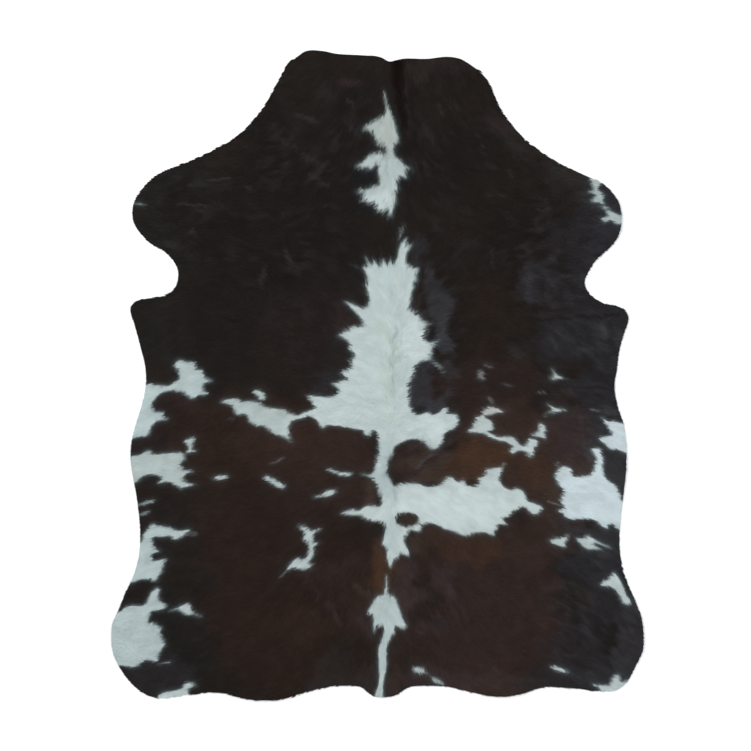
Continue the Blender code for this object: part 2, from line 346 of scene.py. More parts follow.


# %% [markdown]
# ## The white markings
# Every hide's markings are its own. These are drawn in centimetres from the middle of the hide, with x
# towards the right flank and y towards the neck. Each loop has the points that its shape turns on, and the
# tips where a tuft of white runs out over the dark coat. Small marks are a row each in two tables.

# %% Markings along the back
PATCHES = {
    "blaze on the neck": [
        (2.3, 96.1), (2.9, 93.4), (3.9, 90.6), (4.9, 87.8), (5.9, 85.3), (6.6, 82.5), (7.2, 79.7),
        (6.2, 78.1), (5.6, 75.9), (5.9, 74.1), (8.1, 72.5), (9.3, 70.9), (11.5, 69.4), (9.4, 68.9),
        (9.9, 66.9), (8, 66.8), (6.5, 65), (7.1, 63.4), (6.3, 61.3), (6.2, 58.8), (5.4, 56.3), (4.6, 53.6),
        (3.8, 53.8), (3.3, 56.3), (2.1, 54.7), (1.2, 55.6), (0.2, 55.2), (-0.6, 56.9), (-2.9, 58.4),
        (-5.9, 59.4), (-4.6, 60.7), (-6.9, 62.2), (-4.1, 62.6), (-1.9, 63.7), (0.4, 64.1), (0.4, 66.9),
        (0.1, 68.5), (0, 70.2), (-0.8, 71.4), (-1.3, 70), (-3.5, 69.6), (-7.3, 70.7), (-5.1, 71.9),
        (-3.6, 73.6), (-1.6, 74.8), (1.2, 75.1), (3, 75), (2.6, 76.4), (-0.1, 78.1), (-1, 80.3),
        (-1.9, 81.9), (-3.2, 82.7), (-5.1, 83.4), (-3.4, 84.5), (-1.2, 86), (1.1, 87.2), (2.5, 88.3),
        (2.7, 91.2), (2, 94)],
    "blaze over the withers": [
        (-3.9, 39.8), (-2.2, 37.3), (-0.9, 38.8), (0.2, 37.1), (1.2, 38.5), (2.2, 38.9), (3.2, 37.6),
        (4.2, 39.2), (5.2, 37.8), (6.2, 38.8), (7, 42), (7.7, 44.3), (9.6, 46.4), (10, 44), (11.7, 43.8),
        (10.3, 42), (9.7, 39.7), (10, 38), (11.7, 37), (14, 35.1), (12.7, 34), (13.8, 32.4), (12.3, 31.7),
        (12.6, 30), (11.6, 28), (11.4, 25.2), (10.8, 22.6), (11.6, 22.2), (12.8, 21.4), (13.8, 20.4),
        (14.6, 19), (17.8, 17.1), (15.9, 16.3), (17.1, 14.6), (15.9, 14), (16.4, 12), (18.1, 11),
        (20.4, 11.8), (19.1, 9.7), (18.3, 7.7), (17.9, 5.3), (16.2, 4.8), (14.6, 4.6), (13.4, 3.4),
        (12.9, 1.9), (12.2, 0), (11.2, -2), (10.8, -6), (11.1, -10), (12.3, -12.7), (14.3, -13.3),
        (16.7, -12.5), (19.3, -13.3), (21, -12.5), (23.3, -10.9), (24.3, -12.9), (26.8, -13.3),
        (27.5, -15.7), (26, -18), (23.3, -19.3), (22.3, -21), (21.7, -23.3), (19.3, -25.1), (17.3, -24),
        (15.3, -22.1), (12.7, -21.6), (10, -22), (7.3, -23.2), (5.7, -24.7), (5, -26.7), (3.3, -29.3),
        (3, -32.4), (-0.3, -33), (-0.7, -29.7), (0, -26.7), (0.3, -24), (0, -20.7), (-0.6, -18.9),
        (-1.9, -18.6), (-2.7, -20.1), (-4.6, -20), (-5, -18.7), (-7.3, -18.3), (-10.7, -17.6),
        (-14.7, -17), (-17.3, -17), (-18.8, -18), (-19.7, -16.7), (-21, -15), (-22.8, -14), (-25, -13.7),
        (-27, -14.2), (-26, -13), (-23.3, -12), (-21.3, -11), (-22.1, -9.3), (-23.5, -7), (-20.7, -7),
        (-16.7, -7.4), (-14.3, -6.7), (-13.3, -4.7), (-15.2, -2.9), (-12.7, -2.1), (-10.6, -1),
        (-12.1, 0.2), (-11.3, 1.5), (-10, 2), (-9, 3.3), (-9.4, 4.8), (-8.3, 6), (-8.2, 7.3), (-9.6, 8.7),
        (-9.4, 10.2), (-10.4, 11.7), (-13.2, 13.5), (-11, 15), (-8.7, 16.3), (-5, 17.1), (-6, 19.3),
        (-8, 21.7), (-11, 24.8), (-7.3, 23.8), (-5.3, 22.8), (-3.3, 23.7), (-3.2, 26.7), (-4, 30),
        (-3.7, 33.3), (-4.8, 36), (-3.5, 37.3)],
    "loin strip and right arm": [
        (3.3, -29.3), (2.7, -31), (2.9, -33.5), (4.4, -35.5), (5.6, -37.5), (8.3, -37), (10.6, -36.7),
        (14.5, -37), (16.8, -37.8), (21.4, -37.1), (23.3, -35.2), (25.2, -34.5), (27.2, -36.2),
        (29.4, -35.6), (30, -37.2), (32.5, -37.8), (34.5, -37), (34.7, -34.8), (36.4, -34.2),
        (37.2, -32), (39.1, -31.5), (42.2, -31.5), (41.7, -33.5), (41.5, -35.8), (42.9, -37.8),
        (45.2, -38.9), (47.9, -38.4), (50, -40.1), (50.6, -42.4), (53.3, -43.4), (55.7, -44.6),
        (54.9, -46.5), (52.9, -47.2), (51.4, -46.2), (50.2, -44.7), (47.9, -45.1), (45.6, -46.6),
        (44.5, -47.8), (42.3, -48.4), (43.8, -50.6), (41.4, -50.4), (40, -52.4), (39.1, -54.3),
        (36.8, -53.4), (32.9, -53.5), (29.8, -54.5), (27.5, -53.7), (25.2, -52.8), (22.2, -51.8),
        (20.6, -50.8), (18.3, -50.2), (15.6, -50.6), (14.8, -51.6), (14.3, -53), (11, -52.5), (10.1, -53.9),
        (9.1, -55.5), (9.5, -57.4), (10.6, -59.7), (10.3, -61.3), (7.9, -60.4), (6.8, -62), (5.4, -63.1),
        (4.3, -65.1), (3.6, -63.5), (3.1, -61.2), (2.7, -58.2), (1.5, -57), (2, -55.1), (2.5, -52.8),
        (2.1, -50.5), (0.6, -49.5), (-2.1, -49.5), (-4.4, -48.5), (-6.3, -47.5), (-9.4, -47.4),
        (-12.3, -46.8), (-9.4, -45.7), (-5.9, -45.7), (-4.8, -44.6), (-2.5, -44.3), (0.6, -44.5),
        (1.3, -43.2), (0.8, -40.8), (0, -38.2), (-0.9, -36.2), (-2.8, -34.4), (-5.4, -33.5), (-2.6, -33.6),
        (-1, -32), (-0.5, -29.3)],
    "croup patch and tail strip": [
        (3.5, -74), (6, -75.3), (7, -77.8), (7.9, -80.3), (8.7, -82.6), (9.8, -84.9), (8.3, -86),
        (6.6, -85), (5.8, -86.9), (4.6, -89.1), (3.2, -92), (3, -98.7), (2.1, -103.4), (1.8, -107.7),
        (2.3, -112), (-1.4, -112), (-1, -108.2), (0.1, -105.3), (0.5, -101.5), (0.3, -96.8), (0.3, -92.5),
        (1.2, -90.1), (2.1, -86.4), (1.6, -85), (0, -85.2), (-1.2, -87), (-1.6, -84.4), (-1.7, -81.5),
        (-3.5, -80.5), (-2.1, -77.7), (-0.2, -74.9), (2, -74.1), (2.5, -72), (3.2, -72)],
}
print(len(PATCHES), "markings along the back")

# %% Markings on the left side
PATCHES |= {
    "left upper side": [
        (-67.4, 5.1), (-65.2, 4.4), (-62.4, 4.1), (-61.6, 2.1), (-59.9, 1.4), (-58.8, -0.7),
        (-56.3, -2.1), (-59, -2.9), (-59.2, -5), (-58.4, -6.6), (-60.9, -6.8), (-62.4, -7.9),
        (-63.8, -7.5), (-65.6, -6.1), (-68.4, -5.4), (-71.3, -5.4), (-73.8, -6.4), (-75.9, -8.6),
        (-76.7, -10.4), (-75.9, -12.2), (-73.1, -12.9), (-72.8, -14.2), (-71.4, -15), (-73.8, -15.4),
        (-75.9, -16.4), (-77, -18.2), (-77.7, -20.4), (-80.2, -20.7), (-82.7, -21.4), (-87, -22),
        (-87, -3), (-78.1, -3.1), (-74.9, -3.4), (-71.3, -3.7), (-69.1, -2.7), (-67.5, -1.4),
        (-67.2, 0.7), (-68.7, 3)],
    "left belly": [
        (-87, -28), (-83.1, -27.4), (-80.2, -26.8), (-78.3, -25.7), (-77, -25.7), (-76.6, -26.7),
        (-73.4, -26.6), (-69.9, -26.3), (-66.2, -26.4), (-65.7, -28.2), (-67, -30), (-66.6, -31.4),
        (-64.9, -32.3), (-62.8, -32.6), (-65.2, -33.6), (-65.9, -35), (-64.9, -36.4), (-62.4, -37.1),
        (-64.5, -37.7), (-67, -38.2), (-68.1, -37.5), (-70.6, -36.1), (-74.3, -36.5), (-73.1, -35),
        (-75.2, -33.7), (-78.1, -33.7), (-80.2, -34.6), (-81.6, -36.1), (-87, -38)],
    "tuft over the left belly": [
        (-65.3, -22.4), (-62.6, -21.3), (-62.7, -23.2), (-63.1, -25), (-61.8, -25.7), (-64.3, -26.2),
        (-65.4, -26.9), (-63.9, -24.4)],
    "long patch left of the back": [
        (-52.9, -8.9), (-49.9, -8.1), (-47.7, -8.2), (-46.6, -8.9), (-43.4, -8.8), (-40.9, -9.2),
        (-38.4, -10.7), (-35.6, -11.2), (-33.4, -11.4), (-31.3, -12.2), (-29.1, -13.3), (-26.6, -13.6),
        (-25, -12.7), (-24.6, -14.2), (-28.4, -15.3), (-29.9, -16.6), (-30.4, -18.9), (-30.2, -20.9),
        (-29.6, -22.4), (-31.6, -21.1), (-34.9, -19.9), (-37, -18.4), (-38.8, -17.2), (-40.9, -17.2),
        (-42.7, -16.1), (-43.8, -14.8), (-44.5, -13.4), (-46.3, -13.2), (-47.7, -13.4), (-48.4, -12.3),
        (-49.1, -10.9), (-50.6, -9.8)],
    "leaf over the long patch": [
        (-42, -5.4), (-40.4, -5.3), (-39.1, -6.1), (-38.3, -7.9), (-39.4, -8.4), (-40.7, -7.2)],
    "left lower side": [
        (-80.2, -56.6), (-79.2, -54), (-77.2, -51.2), (-76.2, -50.2), (-74.8, -51), (-71.2, -51.4),
        (-68, -52.6), (-64, -52.4), (-65.6, -54), (-67.2, -55), (-68.8, -55.6), (-70.4, -54.4),
        (-72.8, -54.8), (-75.2, -54.6), (-76.4, -55.2), (-76.2, -57.6), (-75.2, -59), (-74.2, -59.6),
        (-76, -60.2), (-77, -61.6), (-75.6, -62.8), (-72, -62.3), (-72.8, -64.4), (-73.4, -66.8),
        (-74.4, -68.2), (-75.2, -69.6), (-78, -69), (-80.4, -69.2), (-83.2, -70.2), (-88, -71.5),
        (-88, -58)],
    "left rear foot": [
        (-92, -81.5), (-87.2, -80), (-85.2, -78.4), (-82, -78), (-79.6, -78.2), (-78.4, -76.8),
        (-77.6, -75.2), (-76.4, -73.2), (-75.2, -72.1), (-74.1, -73.2), (-74.4, -75.6), (-73.4, -77.2),
        (-71.8, -78.2), (-72.8, -79.2), (-74.8, -79.6), (-76.8, -80), (-77.4, -81.6), (-77.8, -83.8),
        (-76, -84), (-74.4, -85.2), (-73.3, -85.6), (-74, -87.2), (-73.4, -88.8), (-72.3, -91.2),
        (-73.6, -93.2), (-74.2, -95), (-74.8, -96.8), (-78, -96.4), (-80.4, -97.2), (-81.2, -98.4),
        (-83.6, -98.8), (-86.4, -98.2), (-92, -98)],
    "mark over the left rear foot": [
        (-70.2, -79.6), (-68.4, -79), (-66.4, -78), (-64.5, -77.3), (-63.6, -78.8), (-62.8, -80.2),
        (-60, -81.7), (-62.6, -81), (-64.4, -81), (-66, -80.4), (-67.2, -79.5)],
    "left rear corner": [
        (-73.4, -107.8), (-69.2, -106.8), (-66.4, -106), (-65.2, -104.4), (-63.2, -104.2),
        (-61.9, -105.2), (-64, -106), (-64.4, -107.2), (-64, -109), (-66, -112), (-75, -112)],
    "chain on the left thigh": [
        (-26.6, -51.1), (-24.5, -51.6), (-22.9, -52.6), (-19.8, -52.4), (-21.8, -53.7), (-22, -55.5),
        (-22.1, -56.7), (-20.5, -57.1), (-21.8, -58.1), (-21.8, -60.3), (-22.5, -62.3), (-23.5, -63.5),
        (-22.4, -64.5), (-23.8, -65.6), (-26.9, -65.7), (-28.9, -65.2), (-30.8, -66.2), (-30.1, -64.4),
        (-27.8, -62.3), (-24.9, -62.3), (-23.5, -59.9), (-23.5, -57.1), (-25.1, -55.5), (-24.6, -53.5)],
}
print(len(PATCHES), "markings with the left side")

# %% Markings on the right side
PATCHES |= {
    "right shoulder": [
        (72.2, 66.8), (75.9, 65.4), (74.9, 64), (74.5, 63.2), (75.5, 62), (76.6, 60.8), (76.3, 59),
        (76.7, 57.7), (75.3, 58.3), (74, 58.5), (72.6, 58.8), (73, 60), (74.2, 60.9), (73.3, 61.5),
        (71.7, 62), (73.3, 62.7), (73, 63.8), (72.7, 65)],
    "right shoulder edge": [
        (75.8, 57.3), (77.5, 57), (78.5, 56), (80.5, 54.8), (82.5, 54), (86, 53), (86, 50), (82.8, 51.3),
        (81.5, 51), (80.3, 52), (78.8, 52.5), (77, 51.9), (76.3, 53.2), (77.5, 53.6), (78, 54.8),
        (77.3, 56)],
    "right chain": [
        (31.1, -19), (32.3, -17.5), (33.4, -15.4), (33.8, -14.3), (35.4, -13.8), (36.6, -11.5),
        (38.8, -10.7), (40.9, -11.5), (42.8, -12.4), (40.1, -12.9), (38.4, -13.4), (36.4, -14),
        (38.8, -15.8), (38.9, -18.4), (37.6, -19.1), (39.1, -20.1), (41.2, -20.9), (44.8, -20.8),
        (46.9, -21.6), (48.4, -23.8), (50.1, -23.8), (51.2, -22.2), (52.6, -21.5), (54.5, -22.7),
        (53.4, -24.5), (53, -26.2), (51.9, -27.8), (50.5, -26.2), (48, -25.5), (45.9, -26.4),
        (45, -25.9), (45.8, -24.1), (43.8, -22.7), (40.9, -22), (38, -20.9), (36.2, -19.8),
        (34.1, -19.5)],
    "end of the right chain": [
        (55.2, -16.4), (56.3, -16.9), (57, -18.7), (56.5, -20.1), (57, -21.4), (54.4, -20.8),
        (52.4, -20.6), (54.4, -19), (55, -17.6)],
    "star over the right chain": [
        (59.3, 2), (60.5, 0.3), (62.7, -0.9), (60.8, -1.3), (58.7, -1.6), (59.7, 0)],
    "tuft over the right chain": [
        (57.7, -9.9), (59.7, -11), (63.8, -11.8), (60.6, -12.5), (58.8, -13.1), (59.1, -11.5)],
    "right flank edge": [
        (76.1, -14.3), (78, -15.7), (80.5, -15.5), (82.3, -16.2), (88, -17.5), (88, -27.5), (83.7, -26.2),
        (80.9, -25.1), (78.7, -25.1), (77.3, -23.7), (75.4, -21.6), (77.3, -20.9), (79.5, -20.1),
        (78.4, -18), (77.6, -16.6)],
    "right belly link": [
        (72.4, -25.3), (74.6, -24.9), (75.9, -25.1), (75.8, -26.6), (76.5, -28.2), (75.8, -31), (74, -31),
        (74.3, -29), (73.5, -26.9)],
    "right belly": [
        (61.9, -31.2), (63.7, -31), (65.5, -31.6), (65.9, -33.4), (66.9, -34.4), (70.1, -34.3),
        (72.3, -33.7), (73.4, -32.3), (73.7, -30.5), (76, -30.1), (76.6, -33.7), (78.4, -35.9),
        (80.5, -37.3), (81.9, -39.8), (82.6, -42.3), (88, -45), (88, -55), (81.6, -52.3), (80.1, -50.7),
        (78.3, -50.8), (78, -51.9), (75.9, -51), (73.7, -49.1), (70.9, -48.6), (66.6, -48.7),
        (64.1, -48.4), (63, -46.9), (61.4, -46), (63.4, -44.8), (62.3, -42.9), (62.6, -40.9),
        (63.4, -39.1), (61.6, -37.3), (60.4, -34.4), (61.2, -32.3)],
    "right flank mark": [
        (58.4, -56.2), (60.7, -55.4), (62.8, -55.3), (64.8, -54.2), (63.6, -56.5), (63.3, -58.3),
        (61.4, -57.6), (59.4, -57)],
    "right flank arrow": [
        (67.6, -55.4), (70, -55.3), (71.6, -54.4), (73.4, -55.7), (75.9, -56.9), (78.8, -58.4),
        (76.4, -57.7), (73.8, -56.9), (72.8, -57.4), (74, -57.9), (75.9, -59), (73.6, -59), (71.6, -59.1),
        (70, -58.4), (68.8, -57.1)],
    "right thigh edge": [
        (80.3, -67.1), (82.2, -69.6), (84.1, -73.9), (85.7, -77.2), (83.6, -77.6), (82.2, -74.9),
        (79.8, -72), (75.8, -71.2), (77.4, -69.6), (78.9, -68.6)],
    "right rear corner": [
        (72.9, -104.8), (76.5, -105), (78.8, -104.8), (79.8, -102.5), (81.8, -101.4), (82, -103),
        (83.1, -103.9), (85.3, -103.2), (88, -107), (80, -110), (74.5, -108.5), (75.5, -106.2)],
}
print(len(PATCHES), "markings in all")

# %% Small marks and dark islands
# Each row: start x, start y, end x, end y, width, and how white the mark looks to the eye.
STREAKS = [
    (8.9, 50.2, 7.4, 46.2, 1.0, 0.55),
    (18.2, 5.2, 21.6, 2.6, 0.9, 0.6),
    (21, 3.4, 22.4, 0.8, 0.9, 0.5),
    (-4.8, 36.2, -9, 37.4, 0.4, 0.35),
    (3, -68.4, 2.8, -74, 0.9, 0.75),
    (-82.6, 58.1, -79.2, 57.6, 0.7, 0.6),
    (-55, -34.8, -51.7, -34.5, 1.4, 0.9),
    (-37.8, -34.6, -34.6, -36.5, 1.5, 0.95),
    (-35.8, -36.2, -32.3, -37.7, 1.6, 0.95),
    (-16.8, -31.9, -13, -33.2, 0.9, 0.85),
    (-13.2, -33.4, -9.6, -33.6, 1.3, 0.95),
    (-21.4, -41.2, -17, -40.7, 0.7, 0.85),
    (-18.2, -40.5, -15.2, -39.6, 1.8, 1),
    (-36.4, -29.9, -34.2, -29.4, 0.9, 0.3),
    (-34.4, -29.4, -32.4, -28.2, 1, 0.35),
    (-50.2, -14.8, -49.2, -15.2, 1, 0.25),
    (-80.8, -44, -76.2, -42.5, 1.2, 0.6),
    (-80, -47.1, -77.8, -46.2, 1.3, 0.5),
    (-74.3, -97.8, -70, -97, 0.5, 0.6),
    (-64.2, -53.6, -62.2, -53.8, 2.1, 0.28),
    (-30.6, -66, -33, -68.3, 0.5, 0.45),
    (35, 0.9, 35.3, -0.8, 1.9, 0.6),
    (36.8, 3.3, 38.3, 2.9, 1.2, 0.4),
    (42.6, -2.9, 45.8, -3.8, 0.8, 0.33),
    (62, -1.1, 65, -1.4, 0.5, 0.3),
    (54.8, -6, 56.6, -5.8, 0.8, 0.36),
    (37.8, -7.8, 39.2, -9.3, 1.5, 0.4),
    (57.8, -12.6, 56.6, -14.4, 1.2, 0.3),
    (72.2, -11.5, 75.4, -12.1, 0.8, 0.42),
    (42.2, -31.2, 43, -29.8, 1.2, 0.4),
    (60.9, -30.6, 61.4, -29.6, 1, 0.38),
    (58.2, -42.9, 61.6, -44, 0.6, 0.42),
    (12.9, -99.9, 15.2, -100, 1.8, 0.92),
    (15.8, -100.6, 18.6, -102.2, 0.5, 0.5),
    (18.9, -103, 21.8, -104.3, 1.3, 0.85),
    (59.4, -99, 64, -100.4, 1.2, 0.95),
]
# Each row: middle x, middle y, half its length across, half its length along the back.
ISLANDS = [(10.1, -49, 4.3, 2.8)]
print(len(STREAKS), "small marks and", len(ISLANDS), "dark island")

# %% [markdown]
# ## How white a hair is
# The loops and the tables answer two questions for any point of the skin: how much white hair grows there,
# and how many stray white hairs stand in the dark coat. Stray hairs are thick right beside a marking and
# few from a centimetre on, so that a marking's edge is soft, as it is on a real hide.

# %% Whiteness of a point
PATCH_STEPS = 4
NEAR_WHITE = 6 * CM
BACKBONE_X = 4.5 * CM
HAIR_MIX = 4 * MM
# Along the back, from the loins to the neck, the hair is long and its tips mix over a wider band.
LONG_HAIR_MIX = 5 * MM
# Markings whose white hair starts thin everywhere, so that they come out of the dark slowly.
THIN_EDGE = {"right belly link": 6 * MM, "right flank arrow": 6 * MM}
MANY_STRAYS = 0.15
MANY_STRAYS_REACH = 3.5 * MM
FEW_STRAYS = 0.019
FEW_STRAYS_REACH = 13 * MM
# Towards the neck's cut edge the dark hair closes up tight against the white streak.
NO_STRAYS_AT_NECK = 0.7
NECK_FROM = 86
NECK_FADE = 5
# A marking is already this white on its loop.
WHITE_ON_LOOP = 0.2
# The hair is long in a band along the backbone, from the loins on, and nearly so on the croup.
LONG_HAIR_BAND = 30 * CM
LONG_HAIR_END = 1.6
LOINS_Y = -14
LOINS_FADE = 12
CROUP_Y = -80
CROUP_REACH = 6
CROUP_END = 1.5
CROUP_LENGTH = 0.7


def oval(x, y, across, along, turn=0.0, count=16):
    """A closed ring of points round an ellipse that is turned by an angle."""
    angle = np.arange(count) * 2 * np.pi / count
    u, v = across * np.cos(angle), along * np.sin(angle)
    return np.stack([x + u * np.cos(turn) - v * np.sin(turn), y + u * np.sin(turn) + v * np.cos(turn)], 1)


patch_loops = [smooth_loop(rows, PATCH_STEPS) * CM for rows in PATCHES.values()]
white_loops = [(loop, 1.0, THIN_EDGE.get(name, HAIR_MIX)) for name, loop in zip(PATCHES, patch_loops)]
for x1, y1, x2, y2, width, share in STREAKS:
    length, turn = np.hypot(x2 - x1, y2 - y1), np.arctan2(y2 - y1, x2 - x1)
    lens = oval((x1 + x2) / 2, (y1 + y2) / 2, length / 2 + width / 2, width / 2, turn)
    white_loops.append((lens * CM, share ** 2, HAIR_MIX))
dark_loops = [oval(*row) * CM for row in ISLANDS]


def long_hair(points):
    """How long and ragged the hair is: 1 along the back and less on the croup, 0 at the sides."""
    near_back = ease(LONG_HAIR_END - np.abs(points[:, 0] - BACKBONE_X) / LONG_HAIR_BAND)
    y = points[:, 1] / CM
    from_loins = ease((y - LOINS_Y) / LOINS_FADE)
    on_croup = ease(CROUP_END - np.abs(y - CROUP_Y) / CROUP_REACH)
    return near_back * np.maximum(from_loins, CROUP_LENGTH * on_croup)


def strays(depth):
    """The share of stray white hairs in the dark coat, from how deep a point lies inside a marking."""
    outside = np.minimum(depth, 0)
    return (MANY_STRAYS * np.exp(outside / MANY_STRAYS_REACH)
            + FEW_STRAYS * np.exp(outside / FEW_STRAYS_REACH))


def whiteness(points):
    """How much of the hair is white at each point, and the share of stray white hairs in the dark."""
    white, stray = np.zeros(len(points)), np.zeros(len(points))
    longer = LONG_HAIR_MIX * long_hair(points)
    for loop, share, mix in white_loops:
        here = depth_inside(points, loop, NEAR_WHITE)
        white = np.maximum(white, share * ease(WHITE_ON_LOOP + here / (mix + longer)))
        stray = np.maximum(stray, share * strays(here))
    for loop in dark_loops:
        here = depth_inside(points, loop, NEAR_WHITE)
        white = np.minimum(white, 1 - ease(WHITE_ON_LOOP + here / HAIR_MIX))
        stray = np.minimum(stray, strays(-here))
    at_neck = ease((points[:, 1] / CM - NECK_FROM) / NECK_FADE)
    return white, stray * (1 - NO_STRAYS_AT_NECK * at_neck)


# %% [markdown]
# ## The way the hair lies
# Hair lies in streams. On the neck and on the rump it lies towards the tail, and over the shoulder blades
# a whorl turns it towards the neck. Everywhere it also leans outwards from the backbone. The stream decides
# which way each lock is combed, and so which side of a marking is ragged.

# %% Hair stream
# Each row: y in centimetres, then how much the hair lies towards the neck by the backbone and at the sides.
STREAM = np.array([
    (-110, -1.0, -0.5), (-60, -1.0, -0.5), (-42, -0.5, -0.4), (-25, 0.1, -0.35), (-5, 0.3, -0.4),
    (13, 0.4, -0.4), (17, 0.9, -0.3), (40, 1.0, 0.0), (46, 0.6, 0.05), (52, -0.9, 0.1),
    (60, -1.0, 0.0), (80, -1.0, -0.6), (110, -1.0, -0.8)])
BACK_STREAM_REACH = 30 * CM
PARTING_WIDTH = 1.5 * CM
LEAN_AT_BACK = 0.3
LEAN_MORE_AT_SIDES = 0.8
LEAN_REACH = 20 * CM
WIDE_SWIRL = 0.30
SMALL_SWIRL = 0.16


def stream(points):
    """The unit direction in which the hair lies at each point."""
    x, y = points[:, 0], points[:, 1] / CM
    side = x - BACKBONE_X
    lean = LEAN_AT_BACK + LEAN_MORE_AT_SIDES * (1 - np.exp(-np.abs(side) / LEAN_REACH))
    outward = np.tanh(side / PARTING_WIDTH) * lean
    share = np.exp(-(side / BACK_STREAM_REACH) ** 2)
    headward = (np.interp(y, STREAM[:, 0], STREAM[:, 1]) * share
                + np.interp(y, STREAM[:, 0], STREAM[:, 2]) * (1 - share))
    angle = np.arctan2(headward, outward)
    swirl = WIDE_SWIRL * drift(points, cell=14 * CM, seed=11)
    swirl += SMALL_SWIRL * drift(points, cell=4 * CM, seed=12)
    angle += swirl
    return np.stack([np.cos(angle), np.sin(angle)], 1)


# %% [markdown]
# ## The tones of the coat
# A dark coat isn't one colour. The neck is brown-black, the belly and flanks are red-brown, the loins are
# warm brown, and where the hair stands up a little it catches the light with a slate-grey sheen, which is
# painted into the colour as painted sheen, as the shade of the folds is painted shade. Soft ovals hold
# these tones, and smooth unevenness breaks up their edges, as the real coat's growth does.

# %% Paints of the coat
# The slate, grey and silver paints and the light brown one made for sheen are painted sheen: light that the
# hair reflects where it lies towards the light.
DARK = {
    "coat": linear(29, 24, 21),
    # painted shade for the fold down the neck
    "crease_shade": linear(15, 8, 6),
    "black": linear(23, 19, 18),
    "ink": linear(20, 22, 24),
    "ribs": linear(31, 25, 23),
    "green": linear(26, 25, 23),
    "red": linear(39, 28, 23),
    "rust": linear(46, 33, 29),
    "brown": linear(55, 39, 29),
    "chestnut": linear(49, 36, 31),
    "sheen_brown": linear(54, 43, 38),
    "umber": linear(43, 32, 29),
    "amber": linear(62, 43, 30),
    "lilac": linear(52, 42, 42),
    "stone": linear(43, 41, 40),
    "grey_sheen": linear(38, 37, 40),
    "slate_sheen": linear(47, 46, 49),
    "silver_sheen": linear(66, 64, 67),
}
# Of the white paints, the brighter and the bluish whites are painted light, and the shade and duller whites
# are painted shade: whiter or dimmer white where more or less light falls.
WHITE = {
    "hair": linear(171, 182, 180),
    "bright_lit": linear(181, 191, 190),
    "blue": linear(182, 194, 197),
    "shade": linear(161, 173, 173),
    "dull_shade": linear(156, 167, 164),
    "thin": linear(156, 163, 158),
    "cream": linear(168, 180, 172),
    "warm": linear(166, 160, 158),
    "stray": linear(168, 190, 194),
}
print(len(DARK), "dark and", len(WHITE), "white paints")

